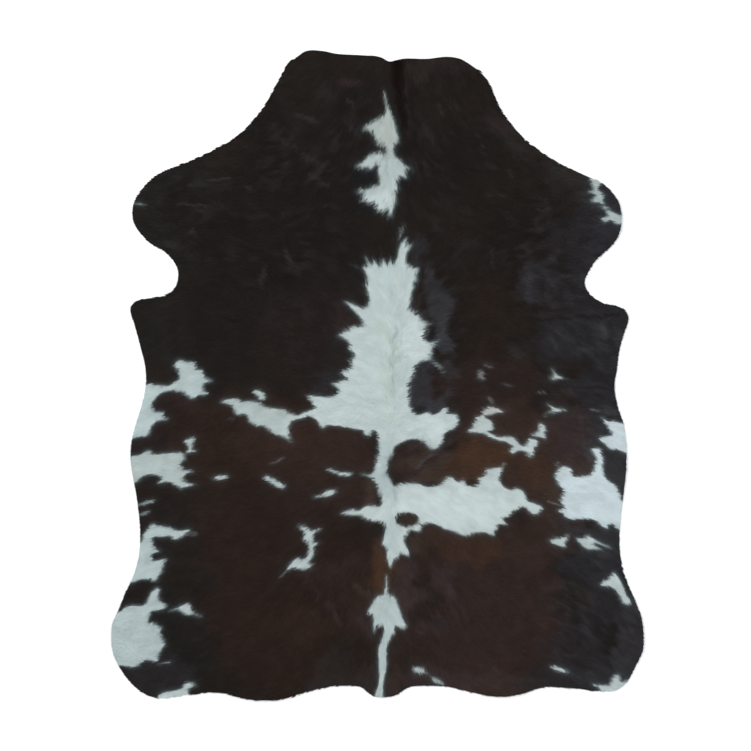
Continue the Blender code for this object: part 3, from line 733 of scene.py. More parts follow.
# %% Tones of the dark hair
# Each row: tone, middle x, middle y, half width, half length along the back, turn in degrees, strength.
TONES = [
    ("black", -32, 48, 26, 24, 0, 0.8),
    ("black", -54, 26, 14, 34, 0, 0.6),
    ("black", -62, 56, 12, 12, 0, 0.5),
    ("black", -40, 86, 9, 8, 0, 0.7),
    ("black", -38, 75, 7, 6, 0, 0.6),
    ("black", -30, 70, 5, 5, 0, 0.4),
    ("black", -18, 78, 8, 7, 0, 0.5),
    ("green", -70, 52, 20, 18, 0, 0.8),
    ("green", -75, 16, 10, 15, 0, 0.6),
    ("black", -66, 55, 9, 8, 20, 0.8),
    ("black", -52, 46, 12, 9, -20, 1),
    ("black", -41, 55, 9, 8, 0, 0.9),
    ("black", -8, 86, 7, 12, 0, 0.6),
    ("black", -7, 65, 6, 8, 0, 0.8),
    ("black", 10, 76, 5, 20, 0, 0.6),
    ("ribs", -20, 14, 22, 16, 0, 0.8),
    ("lilac", -10, 18, 5, 5, 0, 0.35),
    ("grey_sheen", -12, 6, 7, 8, 30, 0.15),
    ("grey_sheen", -14, -3, 9, 5, 0, 0.5),
    ("black", 24, 72, 14, 14, 0, 0.4),
    ("lilac", 22, 104, 10, 4, 0, 0.3),
    ("stone", 50, 79, 9, 6, -30, 0.3),
    ("black", 49, 45, 12, 14, 0, 0.4),
    ("grey_sheen", 71, 44, 13, 11, -20, 0.55),
    ("stone", 66, 67, 9, 7, -30, 0.6),
    ("grey_sheen", 80, 56, 9, 20, 0, 1),
    ("red", 38, 20, 10, 13, 0, 0.3),
    ("slate_sheen", 14, 41.5, 3, 5, 15, 0.5),
    ("slate_sheen", 18, 32, 4, 5, 30, 0.65),
    ("rust", 14, 27, 2, 4, 0, 0.25),
    ("slate_sheen", 21, 24, 4.4, 6, 12, 0.85),
    ("slate_sheen", 22.5, 13.5, 3, 5, 0, 1),
    ("slate_sheen", 24.5, 3, 3, 3, 0, 0.8),
    ("slate_sheen", 15, -4, 5, 8, 0, 0.85),
    ("slate_sheen", 21, -10, 4, 3, 0, 1),
    ("slate_sheen", 51.5, 33, 3.5, 8, -12, 0.65),
    ("slate_sheen", 59, 31, 4, 7, 18, 0.5),
    ("grey_sheen", 70, 27, 8, 9, 0, 0.6),
    ("grey_sheen", 66, 12, 13, 9, 0, 0.8),
    ("grey_sheen", 80, 14, 6, 14, 0, 0.8),
    ("grey_sheen", 76, -6, 9, 12, 0, 0.7),
    ("umber", 38, -2, 18, 10, 0, 0.6),
    ("chestnut", 44, -19, 18, 10, 0, 0.85),
    ("red", -40, -22, 36, 16, 0, 0.8),
    ("umber", -66, -8, 8, 5, 0, 0.5),
    ("rust", -40, -24, 8, 8, 0, 0.6),
    ("rust", -22, -24, 17, 9, 0, 0.8),
    ("rust", -10, -25, 10, 8, 0, 0.5),
    ("rust", -11, -42, 9, 5, 0, 0.7),
    ("chestnut", -13, -35, 14, 9, 0, 0.4),
    ("ribs", -77, -24, 8, 24, 8, 0.6),
    ("lilac", -28, -43, 6, 8, 0, 0.2),
    ("red", -34, -62, 34, 28, 0, 0.65),
    ("red", -28, -92, 30, 14, 0, 0.6),
    ("green", -70, -56, 9, 8, 0, 0.6),
    ("green", -62, -69, 7, 6, 20, 0.5),
    ("green", -72, -82, 9, 9, 0, 0.8),
    ("green", -63, -95, 8, 7, -20, 0.7),
    ("black", -80, -72, 6, 10, 0, 0.5),
    ("black", -67, -75, 5, 6, 30, 0.4),
    ("rust", -6, -74, 6, 16, 0, 0.45),
    ("amber", 1.4, -65, 2.8, 9, 0, 0.4),
    ("amber", 5, -67, 5, 6, 0, 0.8),
    ("black", -6, -56, 3.4, 6, 15, 0.25),
    ("rust", -18, -69, 6, 5, 0, 0.6),
    ("brown", -25, -85, 7, 6, 0, 0.2),
    ("green", -10, -92, 7, 6, 0, 0.25),
    ("rust", 12, -29, 8, 7, 0, 0.8),
    ("brown", 30, -29, 13, 6, 12, 1),
    ("sheen_brown", 18, -28.5, 8, 5, 15, 0.95),
    ("amber", 42, -30, 11, 7, -15, 0.65),
    ("chestnut", 56, -35, 9, 15, 0, 0.95),
    ("amber", 54, -32, 6, 6, 20, 0.35),
    ("lilac", 67, -23, 8, 14, 10, 0.85),
    ("sheen_brown", 66, -31, 6, 5, 0, 0.7),
    ("sheen_brown", 61, -41, 5, 6, 0, 0.6),
    ("slate_sheen", 75, -19, 4, 7, 0, 0.5),
    ("slate_sheen", 81, -30, 6, 9, 0, 0.8),
    ("umber", 34, -80, 32, 26, 0, 0.95),
    ("brown", 30, -58, 13, 6, 0, 0.65),
    ("chestnut", 19, -55, 6, 4, 0, 0.9),
    ("chestnut", 46, -36, 5, 4, 0, 0.8),
    ("sheen_brown", 10, -49, 6, 4, 0, 0.6),
    ("brown", 3, -79, 9, 7, 0, 0.3),
    ("chestnut", 52, -56, 10, 8, 0, 0.6),
    ("lilac", 64, -53, 5, 5, 0, 0.5),
    ("slate_sheen", 79, -57, 9, 7, 0, 0.6),
    ("lilac", 10, -72, 4, 9, 0, 0.7),
    ("lilac", 23, -72, 4, 6, 0, 0.5),
    ("green", 17, -76, 3, 9, 0, 0.5),
    ("brown", 5, -101, 3, 7, 0, 0.4),
    ("rust", 35, -101, 14, 6, 0, 0.4),
    ("grey_sheen", 72, -66, 11, 7, -15, 0.75),
    ("stone", 62, -76, 6, 7, 20, 0.3),
    ("black", 66, -79, 6, 6, 0, 0.35),
    ("grey_sheen", 77, -79, 9, 9, 0, 0.55),
    ("grey_sheen", 67, -90, 10, 8, 15, 0.5),
    ("grey_sheen", 79, -98, 10, 8, 0, 0.5),
    ("slate_sheen", 87, -90, 6, 18, 0, 0.6),
    ("black", 77, -89, 4, 5, 0, 0.6),
    ("black", 65, -68, 3, 4, 0, 0.4),
    ("black", 66, -90, 3, 3, 0, 0.4),
    ("red", -24, -104, 26, 4, 0, 0.5),
    ("stone", -14, -108, 12, 5, 0, 0.5),
    ("stone", -14, -99, 6, 4.5, 0, 0.3),
    ("lilac", 20, -104, 26, 5, 0, 0.5),
    ("sheen_brown", 40, -106, 18, 4, 0, 0.5),
    # Painted sheen along the rear edge.
    ("grey_sheen", 70, -104, 22, 5, 0, 0.5),
    ("grey_sheen", -74, -102, 12, 6, 0, 0.5),
]
# Each row: middle x, middle y, half width, half length, and how strongly the combed hair shows wisps there,
# which are streaks of painted sheen and painted shade.
WISPY_SHEEN = [
    (-70, 54, 22, 18, 0.4),
    (-26, 82, 26, 22, 0.38),
    (-36, 42, 26, 14, 0.35),
    (30, 70, 30, 34, 0.35),
    (66, 40, 20, 22, 0.6),
    (20, 16, 9, 24, 0.6),
    (70, 6, 16, 16, 0.6),
    (74, -80, 18, 26, 0.6),
    (18, -78, 14, 14, 0.45),
    (74, -22, 12, 14, 0.5),
]
print(len(TONES), "tones and", len(WISPY_SHEEN), "wispy places")

# %% Wisps and creases
# Each row: tone, start x, start y, end x, end y, half width, strength. Some rows are painted light:
# painted shade down creases and folds, and painted sheen and highlight beside them and across the coat.
WISPS = [
    # The first three rows paint the fold down the neck: painted shade in its trough, and a lighter line of
    # painted highlight along its lip.
    ("crease_shade", 6.6, 108, 7.2, 96, 2.7, 1),
    ("crease_shade", 7.2, 98, 8.8, 82, 1.9, 0.85),
    ("lilac", 10.3, 98, 10.5, 85, 0.6, 0.25),
    ("silver_sheen", -31.9, 43, -29.3, 37, 1.1, 0.2),
    ("silver_sheen", -38, 37, -40.2, 30.5, 0.9, 0.18),
    ("silver_sheen", -57, 65.6, -46, 67, 0.5, 0.23),
    ("silver_sheen", -47, 63.6, -42.5, 62.9, 0.6, 0.2),
    ("black", -49, 67.6, -41, 65.6, 1.4, 0.64),
    ("silver_sheen", -68, 58.4, -58, 57.2, 0.6, 0.2),
    ("silver_sheen", -63, 49.8, -62.2, 46.6, 0.8, 0.23),
    ("black", -61, 47, -50, 49, 3, 0.85),
    ("silver_sheen", -29, 88.3, -20, 84.6, 0.8, 0.2),
    ("silver_sheen", -32.8, 79.2, -27.2, 76.4, 0.6, 0.17),
    ("silver_sheen", -26.2, 74.4, -18, 70.5, 0.9, 0.17),
    ("silver_sheen", -24.2, 67.8, -16.2, 64.2, 0.7, 0.15),
    ("lilac", -13, 99.4, -6, 98.4, 1.6, 0.42),
    ("silver_sheen", -10.2, 93, -7.6, 90.4, 0.8, 0.2),
    ("silver_sheen", -10.2, 84.6, -4, 80.2, 0.8, 0.15),
    ("silver_sheen", -18, 58, -12.4, 55.2, 0.5, 0.17),
    ("black", -31.4, 86, -30.4, 82.6, 0.9, 0.56),
    ("black", -14.4, 60, -13.4, 57, 0.8, 0.56),
    ("silver_sheen", 20.6, 91.5, 21.8, 87.8, 0.6, 0.17),
    ("grey_sheen", 15, 83.5, 19.4, 79.4, 1.6, 0.49),
    ("lilac", 37, 87, 46, 82, 3, 0.28),
    ("silver_sheen", 44, 70, 45.6, 67.4, 0.7, 0.17),
    ("silver_sheen", 54.6, 55.4, 59, 57.2, 0.7, 0.23),
    ("silver_sheen", 55.4, 60.6, 58.2, 58.8, 0.7, 0.15),
    ("silver_sheen", 69.8, 59, 73, 56.4, 0.5, 0.2),
    ("silver_sheen", 49.4, 43.8, 51.4, 40.8, 0.8, 0.2),
    ("silver_sheen", 39.3, 42.2, 39.6, 36.6, 0.6, 0.17),
    ("rust", 25.4, 54.6, 26.2, 46, 0.4, 0.42),
    ("silver_sheen", 28.4, 53, 28.8, 50.4, 0.4, 0.15),
    ("lilac", 36, 61.6, 43.6, 60.4, 0.4, 0.42),
    ("black", 24.4, 43.2, 26.6, 42.2, 0.8, 0.56),
    ("black", 16.4, 25, 18.8, 9, 1.6, 0.6),
    ("silver_sheen", 16.4, 36, 19.6, 32.4, 0.9, 0.17),
    ("silver_sheen", 19, 27.4, 25.4, 25, 0.9, 0.17),
    ("silver_sheen", 52.4, 39.4, 50, 26.4, 1.1, 0.17),
    ("silver_sheen", 56, 36.4, 60.6, 28.4, 0.9, 0.15),
    ("black", 55.2, 31.4, 56.4, 27.4, 1.2, 0.48),
    ("silver_sheen", 69.6, 33.8, 69.4, 29.6, 0.9, 0.2),
    # These three rows paint soft folds across the right flank: lines of painted shade, with a line of
    # painted highlight beside the upper one.
    ("black", 51.6, 18.7, 79, 19.8, 0.5, 0.56),
    ("grey_sheen", 52, 20.4, 79, 21.4, 0.8, 0.42),
    ("black", 64, -3.6, 80, -4.6, 0.4, 0.48),
    ("silver_sheen", 61, 14.6, 66.4, 11.2, 0.9, 0.17),
    ("silver_sheen", 68, 9, 73, 6.6, 0.8, 0.15),
    ("black", -30, 86.6, -15, 88.6, 0.5, 0.4),
    # A painted sheen streak across the brown arm: a line of painted shade beside a lighter line of painted
    # sheen.
    ("black", 13.6, -32.4, 26, -22.6, 1, 0.4),
    ("silver_sheen", 12.8, -31.6, 19.2, -26.2, 0.7, 0.5),
    ("silver_sheen", 68.4, -13.6, 70.4, -24, 0.8, 0.17),
    ("rust", 57.6, -27.6, 59.8, -21.6, 0.8, 0.42),
    ("lilac", -17, -76, -12.6, -85, 1.7, 0.5),
    ("silver_sheen", -21.6, -70.4, -20.4, -76, 0.5, 0.15),
    ("grey_sheen", 20.4, -86, 23.6, -83, 1.6, 0.42),
    ("silver_sheen", 71.6, -72.6, 75, -78, 1.2, 0.12),
    ("black", 80, -74, 84, -86, 1.2, 0.32),
    ("ink", -9.5, 66.5, -2, 66.5, 2.6, 0.5),
    ("black", 18, 103, 32, 101.6, 2, 0.4),
    ("black", -70, 8, -65, 7, 2.6, 0.6),
    ("slate_sheen", 70, 40, 75, 35, 2.6, 0.35),
    ("ribs", 70, 52, 75, 53, 2.4, 0.4),
    ("black", 52, 40, 53, 35.6, 2, 0.4),
    ("black", -38, 85, -37, 80, 2.2, 0.5),
    ("slate_sheen", 20.6, 29, 24.4, 26, 2, 0.4),
    ("sheen_brown", 55, -46, 60, -49, 2.2, 0.5),
    ("slate_sheen", 64, -101, 76, -103, 2.4, 0.4),
    ("ink", -7, 56.4, -1, 54.6, 1.8, 0.5),
    ("ink", -7.6, 36, -8, 27, 2.6, 0.4),
    ("black", 12.5, 70, 12.5, 63, 2, 0.5),
    ("black", -33, 85, -32, 79, 2.4, 0.5),
    ("black", -47.5, 56, -47, 69, 3.2, 0.75),
    ("black", -70.5, 48.8, -64.5, 46.2, 2.8, 0.7),
    ("black", 55, 71, 63.5, 61, 2.4, 0.4),
    ("black", 47.4, 34, 47.6, 26, 2.2, 0.45),
    ("black", 62.8, 30.5, 62.4, 25, 2.2, 0.5),
    ("slate_sheen", 53, 30, 52.6, 25.6, 2, 0.5),
    # More painted shade along the upper fold across the right flank.
    ("black", 70, 19.2, 82, 20, 1, 0.5),
    ("silver_sheen", 76.8, 16.6, 77.4, 12.4, 1.2, 0.5),
    ("silver_sheen", 81, 15, 82.6, 9, 1.6, 0.3),
    ("silver_sheen", 59.4, 12, 60.6, 8.4, 1, 0.22),
    ("ribs", 60.6, 4.6, 68, 3.6, 1.7, 0.6),
    ("ribs", 74, 0.6, 80.5, -0.8, 1.5, 0.45),
    ("grey_sheen", 63.6, -2.6, 71, -2.8, 1.6, 0.6),
    ("silver_sheen", 76.5, -10.8, 82.5, -13.2, 2, 0.35),
    ("stone", 45, 9, 50, 6, 2.4, 0.6),
    ("silver_sheen", 22.6, 20.6, 22.8, 14.4, 1.8, 0.35),
    ("slate_sheen", 20.4, -9.6, 25, -5, 1.8, 0.6),
    ("lilac", 9.8, -24.6, 16, -23.4, 1.6, 0.6),
    ("lilac", 19.4, -26.4, 25.6, -20.8, 1.8, 0.65),
    ("umber", 34, -20.8, 40, -24, 2.6, 0.4),
    ("umber", 61, -30, 64, -25, 2.2, 0.5),
    ("silver_sheen", 71, -26.4, 72.6, -29.6, 1.4, 0.3),
    ("grey_sheen", 75.8, -31.8, 79.6, -33, 1.6, 0.5),
    ("chestnut", -4.6, -31.4, -2, -30, 1.5, 0.6),
    ("sheen_brown", -2.6, -35.6, -2.6, -44, 2.8, 0.95),
    ("sheen_brown", 12, -35.2, 22, -35.4, 2, 0.9),
    ("sheen_brown", 12.4, -54.6, 13.6, -60, 2, 0.75),
    ("slate_sheen", 64, -52.2, 71, -53, 1.8, 0.7),
    ("sheen_brown", -8, -71, -2.4, -76, 1.2, 0.75),
    ("amber", -3, -70.6, 0, -73.6, 1.4, 0.5),
    ("amber", 0.5, -57.4, 1.2, -73.4, 3, 0.9),
    ("sheen_brown", 0, -58.6, 0.2, -61.4, 1.4, 0.6),
    ("black", -21, -71.4, -11, -73, 2.2, 0.25),
    ("lilac", -7, -82, -1.6, -88.6, 2.4, 0.5),
    ("ribs", 11.6, -80, 13, -85, 1.9, 0.6),
    ("black", 66, -80.4, 69, -84.6, 2.3, 0.6),
]
# Each row: tone, middle x, middle y, half width, half length, turn, strength.
WHITE_TONES = [
    ("thin", 2, 84, 8, 7, 0, 0.8),
    ("dull_shade", 2, 68, 10, 6, 0, 0.7),
    ("thin", 3.6, 78, 3, 4, 0, 0.9),
    ("shade", 2.5, 35, 4, 5, 0, 0.7),
    ("cream", 3, 14, 2.6, 4, 0, 0.8),
    ("cream", 4, -2, 2.5, 14, 0, 0.5),
    ("bright_lit", 12, 12, 4, 12, 0, 1),
    ("bright_lit", 18, -17, 5, 4, 0, 1),
    ("shade", 2.5, -30, 3.4, 9, 0, 1),
    ("shade", 4.6, -44, 2.6, 8, 0, 0.8),
    ("bright_lit", 24, -45, 26, 8, 0, 1),
    ("warm", 44, -4, 16, 10, 0, 1),
    ("dull_shade", -41, -13, 12, 6, 0, 0.8),
    ("shade", -72, -10, 24, 22, 0, 0.9),
    ("dull_shade", -67, 0, 6, 6, 0, 0.7),
    ("dull_shade", -76, -31, 18, 8, 0, 0.8),
    ("shade", -78, -60, 16, 14, 0, 0.9),
    ("shade", -84, -88, 16, 14, 0, 1),
    ("blue", 74, -42, 18, 13, 0, 1),
    ("blue", 82, -20, 12, 9, 0, 0.9),
    ("shade", 4, -55, 3, 6, 0, 0.7),
    ("shade", 4, -88, 6, 16, 0, 0.7),
    ("dull_shade", 76, 58, 10, 12, 0, 0.8),
]
# Each row is a line of painted shade in the white hair, where it parts along the backbone, over small folds
# and at the neck blaze's edges: how deep the shade is, start x, start y, end x, end y, half width.
PARTING_SHADES = [
    (0.22, 6, 17, 5.6, 11.5, 0.7),
    (0.16, 5.5, 12, 4.8, 6, 0.6),
    (0.20, 4.7, 5, 5.2, -3.4, 0.6),
    (0.08, 5, -4, 6, -12, 0.6),
    (0.10, 4.4, 31, 4.8, 25, 0.8),
    (0.16, 5.4, -38, 5.6, -45, 1.1),
    (0.05, -6, 3.6, 2, 3.9, 0.3),
    (0.05, -8, 1.6, 3, 1.9, 0.3),
    (0.10, -7.4, -16.2, -5.6, -16.8, 0.4),
    (0.05, 20, -43.6, 44, -43, 0.3),
    (0.10, 31.4, -51.4, 33.4, -51.6, 0.4),
    (0.40, 1.1, 80, 2.4, 76.8, 0.35),
    (0.35, 2.7, 79, 3.7, 74, 0.35),
    (0.20, 2.6, 73, 3, 66, 0.35),
    (0.35, 1.5, 59.6, 2.3, 56, 0.3),
    (0.25, 5.2, 62, 5, 57, 0.35),
]
print(len(WISPS), "wisps and creases,", len(PARTING_SHADES), "partings")

# %% Colour of a point
WISP_WIDTH = 14 * MM
WISP_LENGTH = 32 * MM
WISP_STEPS = np.linspace(-0.5, 0.5, 7)
COMBED_CONTRAST = 3
WAVER = 0.8 * CM
WIDE_SWAY = 3
SMALL_SWAY = 1.2
OVAL_END = 1.35
OVAL_FADE = 0.7
STROKE_END = 1.25
STROKE_TAPER = 4
STROKE_TIP = 0.45


def in_oval(points, x, y, across, along, turn):
    """How much a soft oval covers each point: 1 at its middle, fading to 0 past its edge."""
    angle = np.radians(turn)
    dx, dy = points[:, 0] / CM - x, points[:, 1] / CM - y
    u = (dx * np.cos(angle) + dy * np.sin(angle)) / across
    v = (dy * np.cos(angle) - dx * np.sin(angle)) / along
    return ease((OVAL_END - np.hypot(u, v)) / OVAL_FADE)


def on_stroke(points, x1, y1, x2, y2, half):
    """How much a soft stroke covers each point: 1 on its line, fading to 0 at its half width."""
    start, run = np.array([x1, y1]), np.array([x2 - x1, y2 - y1])
    away = points / CM - start
    along = np.clip(away @ run / (run @ run), 0, 1)
    gap = np.linalg.norm(away - along[:, None] * run, axis=1)
    taper = ease(STROKE_TAPER * np.minimum(along, 1 - along) + STROKE_TIP)
    return ease(STROKE_END - gap / half) * taper


def tones_over(points, start, rows, palette):
    """The start colour with each row's tone mixed in by its oval."""
    warped = points + sway(points, cell=5 * CM, seed=3) * WIDE_SWAY * CM
    warped += sway(points, cell=1.6 * CM, seed=5) * SMALL_SWAY * CM
    colour = np.tile(start, (len(points), 1))
    for tone, x, y, across, along, turn, strength in rows:
        share = in_oval(warped, x, y, across, along, turn)[:, None] * strength
        colour += (palette[tone] - colour) * share
    return colour


def combed(points, seed):
    """Unevenness that is drawn out along the hair, from about -1 to 1."""
    way = stream(points)
    total = sum(drift(points + way * WISP_LENGTH * step, WISP_WIDTH, seed) for step in WISP_STEPS)
    return np.clip(total * COMBED_CONTRAST / len(WISP_STEPS), -1, 1)


# %% Colour of the coat
LEAST_WISPY_SHEEN = 0.12
PATCHY_LEVEL = 0.4
PATCHY_CONTRAST = 0.9
SILVER_SHEEN_IN_WISPS = 0.30
SHADE_IN_WISPS = 0.25
DARK_MOTTLE = 0.10
WHITE_MOTTLE = 0.045
WHITE_STREAKS = 0.05


def coat_colour(points, white, stray):
    """The colour of the hair at each point, with its painted sheen and shade, as linear red, green and
    blue.
    """
    dark = tones_over(points, DARK["coat"], TONES, DARK)
    wispy_sheen = np.full(len(points), LEAST_WISPY_SHEEN)
    for x, y, across, along, amount in WISPY_SHEEN:
        wispy_sheen = np.maximum(wispy_sheen, amount * in_oval(points, x, y, across, along, 0))
    wisp = combed(points, seed=13)
    patchy = np.clip(PATCHY_LEVEL + PATCHY_CONTRAST * drift(points, cell=5 * CM, seed=17), 0, 1)
    # The combed streaks are painted sheen where they rise above zero and painted shade where they fall
    # below it.
    dark += (DARK["silver_sheen"] - dark) * (SILVER_SHEEN_IN_WISPS * wispy_sheen * patchy * np.maximum(wisp, 0))[:, None]
    mottle = DARK_MOTTLE * drift(points, cell=3 * CM, seed=7)
    dark *= (1 + SHADE_IN_WISPS * wispy_sheen * np.minimum(wisp, 0) + mottle)[:, None]
    wavy = points + sway(points, cell=2 * CM, seed=14) * WAVER
    for tone, x1, y1, x2, y2, half, strength in WISPS:
        dark += (DARK[tone] - dark) * (on_stroke(wavy, x1, y1, x2, y2, half) * strength)[:, None]
    dark += (WHITE["stray"] - dark) * stray[:, None]
    pale = tones_over(points, WHITE["hair"], WHITE_TONES, WHITE)
    # Lines of painted shade where the white hair parts and folds.
    for parting_shade, x1, y1, x2, y2, half in PARTING_SHADES:
        pale *= 1 - parting_shade * on_stroke(wavy, x1, y1, x2, y2, half)[:, None]
    mottle = WHITE_MOTTLE * drift(points, cell=3 * CM, seed=9)
    pale *= (1 + mottle + WHITE_STREAKS * combed(points, seed=16))[:, None]
    return dark + (pale - dark) * white[:, None]


# %% [markdown]
# ## The skin
# The skin is a thin sheet, so it is made in mesh code. The edge is filled with even triangles, the sheet
# takes the height of the solid's folds, and Solidify gives it the thickness of leather. It carries the
# coat's colours on top, as short hair between the locks, and pale suede below and on its cut edge.

# %% Skin sheet
SKIN_THICKNESS = 2.4 * MM
SKIN_GAP = 0.2 * MM
SKIN_STEP = 13 * MM
SKIN_ROW = 0.866
EDGE_GAP = 0.4
SAME_POINT = 1e-6
HAIR_PAST_SKIN = 1 * MM


def drawn_in(loop, by):
    """A closed loop that turns left, moved inwards."""
    way = np.roll(loop, -1, 0) - np.roll(loop, 1, 0)
    way /= np.linalg.norm(way, axis=1)[:, None]
    return loop + np.stack([-way[:, 1], way[:, 0]], 1) * by


def skin_top(points):
    """The height of the skin's upper side above the floor at each point."""
    return fold(points) + SKIN_GAP + SKIN_THICKNESS


skin_edge = drawn_in(hide_edge, HAIR_PAST_SKIN)
rows = np.arange(hide_low.y, hide_high.y, SKIN_STEP * SKIN_ROW)
inner = []
for number, y in enumerate(rows):
    x = np.arange(hide_low.x, hide_high.x, SKIN_STEP) + (number % 2) * SKIN_STEP / 2
    inner.append(np.stack([x, np.full(len(x), y)], 1))
inner = np.concatenate(inner)
inner = inner[depth_inside(inner, skin_edge, SKIN_STEP) > SKIN_STEP * EDGE_GAP]
plan = np.concatenate([skin_edge, inner])
ring = list(range(len(skin_edge)))
flat, _, faces, *_ = delaunay_2d_cdt([Vector(p) for p in plan], [], [ring], 1, SAME_POINT)
flat = np.array(flat)
mesh = bpy.data.meshes.new("skin")
mesh.from_pydata(np.column_stack([flat, skin_top(flat)]).tolist(), [], faces)
skin = bpy.data.objects.new("skin", mesh)
bpy.context.collection.objects.link(skin)
mesh.shade_smooth()

# %% Skin colours and thickness
# Between the locks the short hair lies in their shade, and dark hair more so than white hair.
DARK_IN_SHADE = 0.9
WHITE_OUT_OF_SHADE = 0.08
white, stray = whiteness(flat)
shaded = coat_colour(flat, white, stray) * (DARK_IN_SHADE + WHITE_OUT_OF_SHADE * white)[:, None]
tone = np.column_stack([shaded, np.ones(len(flat))]).astype(np.float32)
mesh.attributes.new("tone", "FLOAT_COLOR", "POINT").data.foreach_set("color", tone.ravel())
wall = skin.modifiers.new("leather", "SOLIDIFY")
wall.thickness = SKIN_THICKNESS
wall.offset = -1
wall.material_offset = 1
wall.material_offset_rim = 1
bpy.context.view_layer.objects.active = skin
skin.select_set(True)
bpy.ops.object.modifier_apply(modifier=wall.name)
bpy.ops.object.select_all(action="DESELECT")
print("the closed skin has", len(mesh.polygons), "faces")

# %% Short hair
short_hair, shader, wire = new_finish("short hair", 0.75, 0.05)
tone = wire.make("ShaderNodeAttribute", {"attribute_name": "tone"}, output="Color")
place = wire.make("ShaderNodeTexCoord", output="Object")
stubble = wire.make("ShaderNodeTexNoise", values={"Vector": place, "Scale": 900.0, "Detail": 2.0})
shade = wire.make("ShaderNodeMapRange", values={"Value": stubble, "From Min": 0.3, "From Max": 0.7,
                                                "To Min": 0.75, "To Max": 1.2})
hair_tone = wire.make("ShaderNodeVectorMath", {"operation": "SCALE"}, {0: tone, "Scale": shade})
bump = wire.make("ShaderNodeBump", values={"Strength": 0.5, "Distance": 0.0005, "Height": stubble},
                 output="Normal")
join(short_hair.node_tree, hair_tone, shader.inputs["Base Color"])
join(short_hair.node_tree, bump, shader.inputs["Normal"])

# %% Suede
SUEDE_DARKER = (*linear(168, 150, 126), 1)
SUEDE_LIGHTER = (*linear(214, 202, 180), 1)
CLOUD_SHARE = 0.7
NAP_SHARE = 0.3
suede, shader, wire = new_finish("suede", 0.9, 0.2)
place = wire.make("ShaderNodeTexCoord", output="Object")
cloud = wire.make("ShaderNodeTexNoise", values={"Vector": place, "Scale": 9.0, "Detail": 6.0})
nap = wire.make("ShaderNodeTexNoise", values={"Vector": place, "Scale": 700.0, "Detail": 3.0})
suede_tone = wire.make("ShaderNodeMix", {"data_type": "RGBA"},
                       {"Factor": CLOUD_SHARE * cloud + NAP_SHARE * nap, MIX_FIRST: SUEDE_DARKER,
                        MIX_SECOND: SUEDE_LIGHTER}, output=MIX_RESULT)
bump = wire.make("ShaderNodeBump", values={"Strength": 0.4, "Distance": 0.0004, "Height": nap},
                 output="Normal")
join(suede.node_tree, suede_tone, shader.inputs["Base Color"])
join(suede.node_tree, bump, shader.inputs["Normal"])
skin.data.materials.append(short_hair)
skin.data.materials.append(suede)
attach(skin, "root")
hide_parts("hide")
print("the skin has", " and ".join(finish.name for finish in skin.data.materials))

# %% [markdown]
# ## The locks of the coat
# Cow hair is short and lies in small locks that overlap like thatch. One lock is a slim closed spindle: a
# root in the skin, a ridge in its middle and a pointed tip, six triangles in all. More than a hundred
# thousand of them are worked out as arrays and joined in five pieces, from the neck to the rump.
#
# Each lock takes its colour from the skin just under its visible half. A clump of locks shares part of its
# place, so that the edge of a marking breaks into tufts. Hair thins towards its end, so the tip of a lock
# fades into the colour under it. Along the markings grow extra wisps, which are fine single tufts.

# %% Roots and ways of the locks
LOCK_SPACING = 5.1 * MM
LOCK_LENGTH = 27 * MM
LOCK_WIDTH = 4.6 * MM
WISP_LOCK_WIDTH = 1.5 * MM
RIDGE = 0.4 * MM
TIP_RISE = 1.2 * MM
WHITE_FLATNESS = 0.4
OVERHANG = 1.5 * MM
WISP_EVERY = 0.6 * MM
WISP_SPREAD = 10 * MM
# The first markings in the table lie along the back, where the hair is long and wisps are thick.
BACK_MARKINGS = 4
LEAST_RAGGED = 0.4
WAY_SPREAD = 0.13
SIZE_SPREAD = (0.75, 1.2)
WISP_SHARE = 0.35
LONG_WISP_SHARE = 0.5
luck = np.random.default_rng(seed=21)


def beside_loop(loop, every, spread):
    """Random points close to a closed loop, one for each short step along it."""
    run = np.roll(loop, -1, axis=0) - loop
    length = np.linalg.norm(run, axis=1)
    far = np.cumsum(length)
    at = luck.uniform(0, far[-1], int(far[-1] / every))
    place = np.searchsorted(far, at)
    share = 1 - (far[place] - at) / length[place]
    across = np.stack([-run[place, 1], run[place, 0]], 1) / length[place, None]
    away = luck.uniform(-spread, spread, len(at))
    return loop[place] + run[place] * share[:, None] + across * away[:, None]


def raggedness(points):
    """How far tufts reach over a marking's edge: 1 where the hair is long, less elsewhere."""
    return LEAST_RAGGED + (1 - LEAST_RAGGED) * long_hair(points)


# %% Place the roots
x, y = np.meshgrid(np.arange(hide_low.x, hide_high.x, LOCK_SPACING),
                   np.arange(hide_low.y, hide_high.y, LOCK_SPACING))
root = np.stack([x.ravel(), y.ravel()], 1)
root += luck.uniform(-0.5, 0.5, root.shape) * LOCK_SPACING
wisp_roots = [beside_loop(loop, WISP_EVERY if number < BACK_MARKINGS else 2 * WISP_EVERY, WISP_SPREAD)
              for number, loop in enumerate(patch_loops)]
is_wisp = np.concatenate([np.zeros(len(root), bool), np.ones(sum(map(len, wisp_roots)), bool)])
root = np.concatenate([root] + wisp_roots)
coarse_edge = hide_edge[::2]
edge_depth = depth_inside(root, coarse_edge, 2 * CM)
kept = edge_depth > HAIR_PAST_SKIN
root, edge_depth, is_wisp = root[kept], edge_depth[kept], is_wisp[kept]
count = len(root)
turn = luck.normal(0, WAY_SPREAD, count)
way = stream(root)
way = np.stack([way[:, 0] * np.cos(turn) - way[:, 1] * np.sin(turn),
                way[:, 0] * np.sin(turn) + way[:, 1] * np.cos(turn)], 1)
left = np.stack([-way[:, 1], way[:, 0]], 1)
length = LOCK_LENGTH * luck.uniform(*SIZE_SPREAD, count)
length[is_wisp] *= WISP_SHARE + LONG_WISP_SHARE * raggedness(root[is_wisp])
print(count, "locks, of which", is_wisp.sum(), "are fine wisps along the markings")

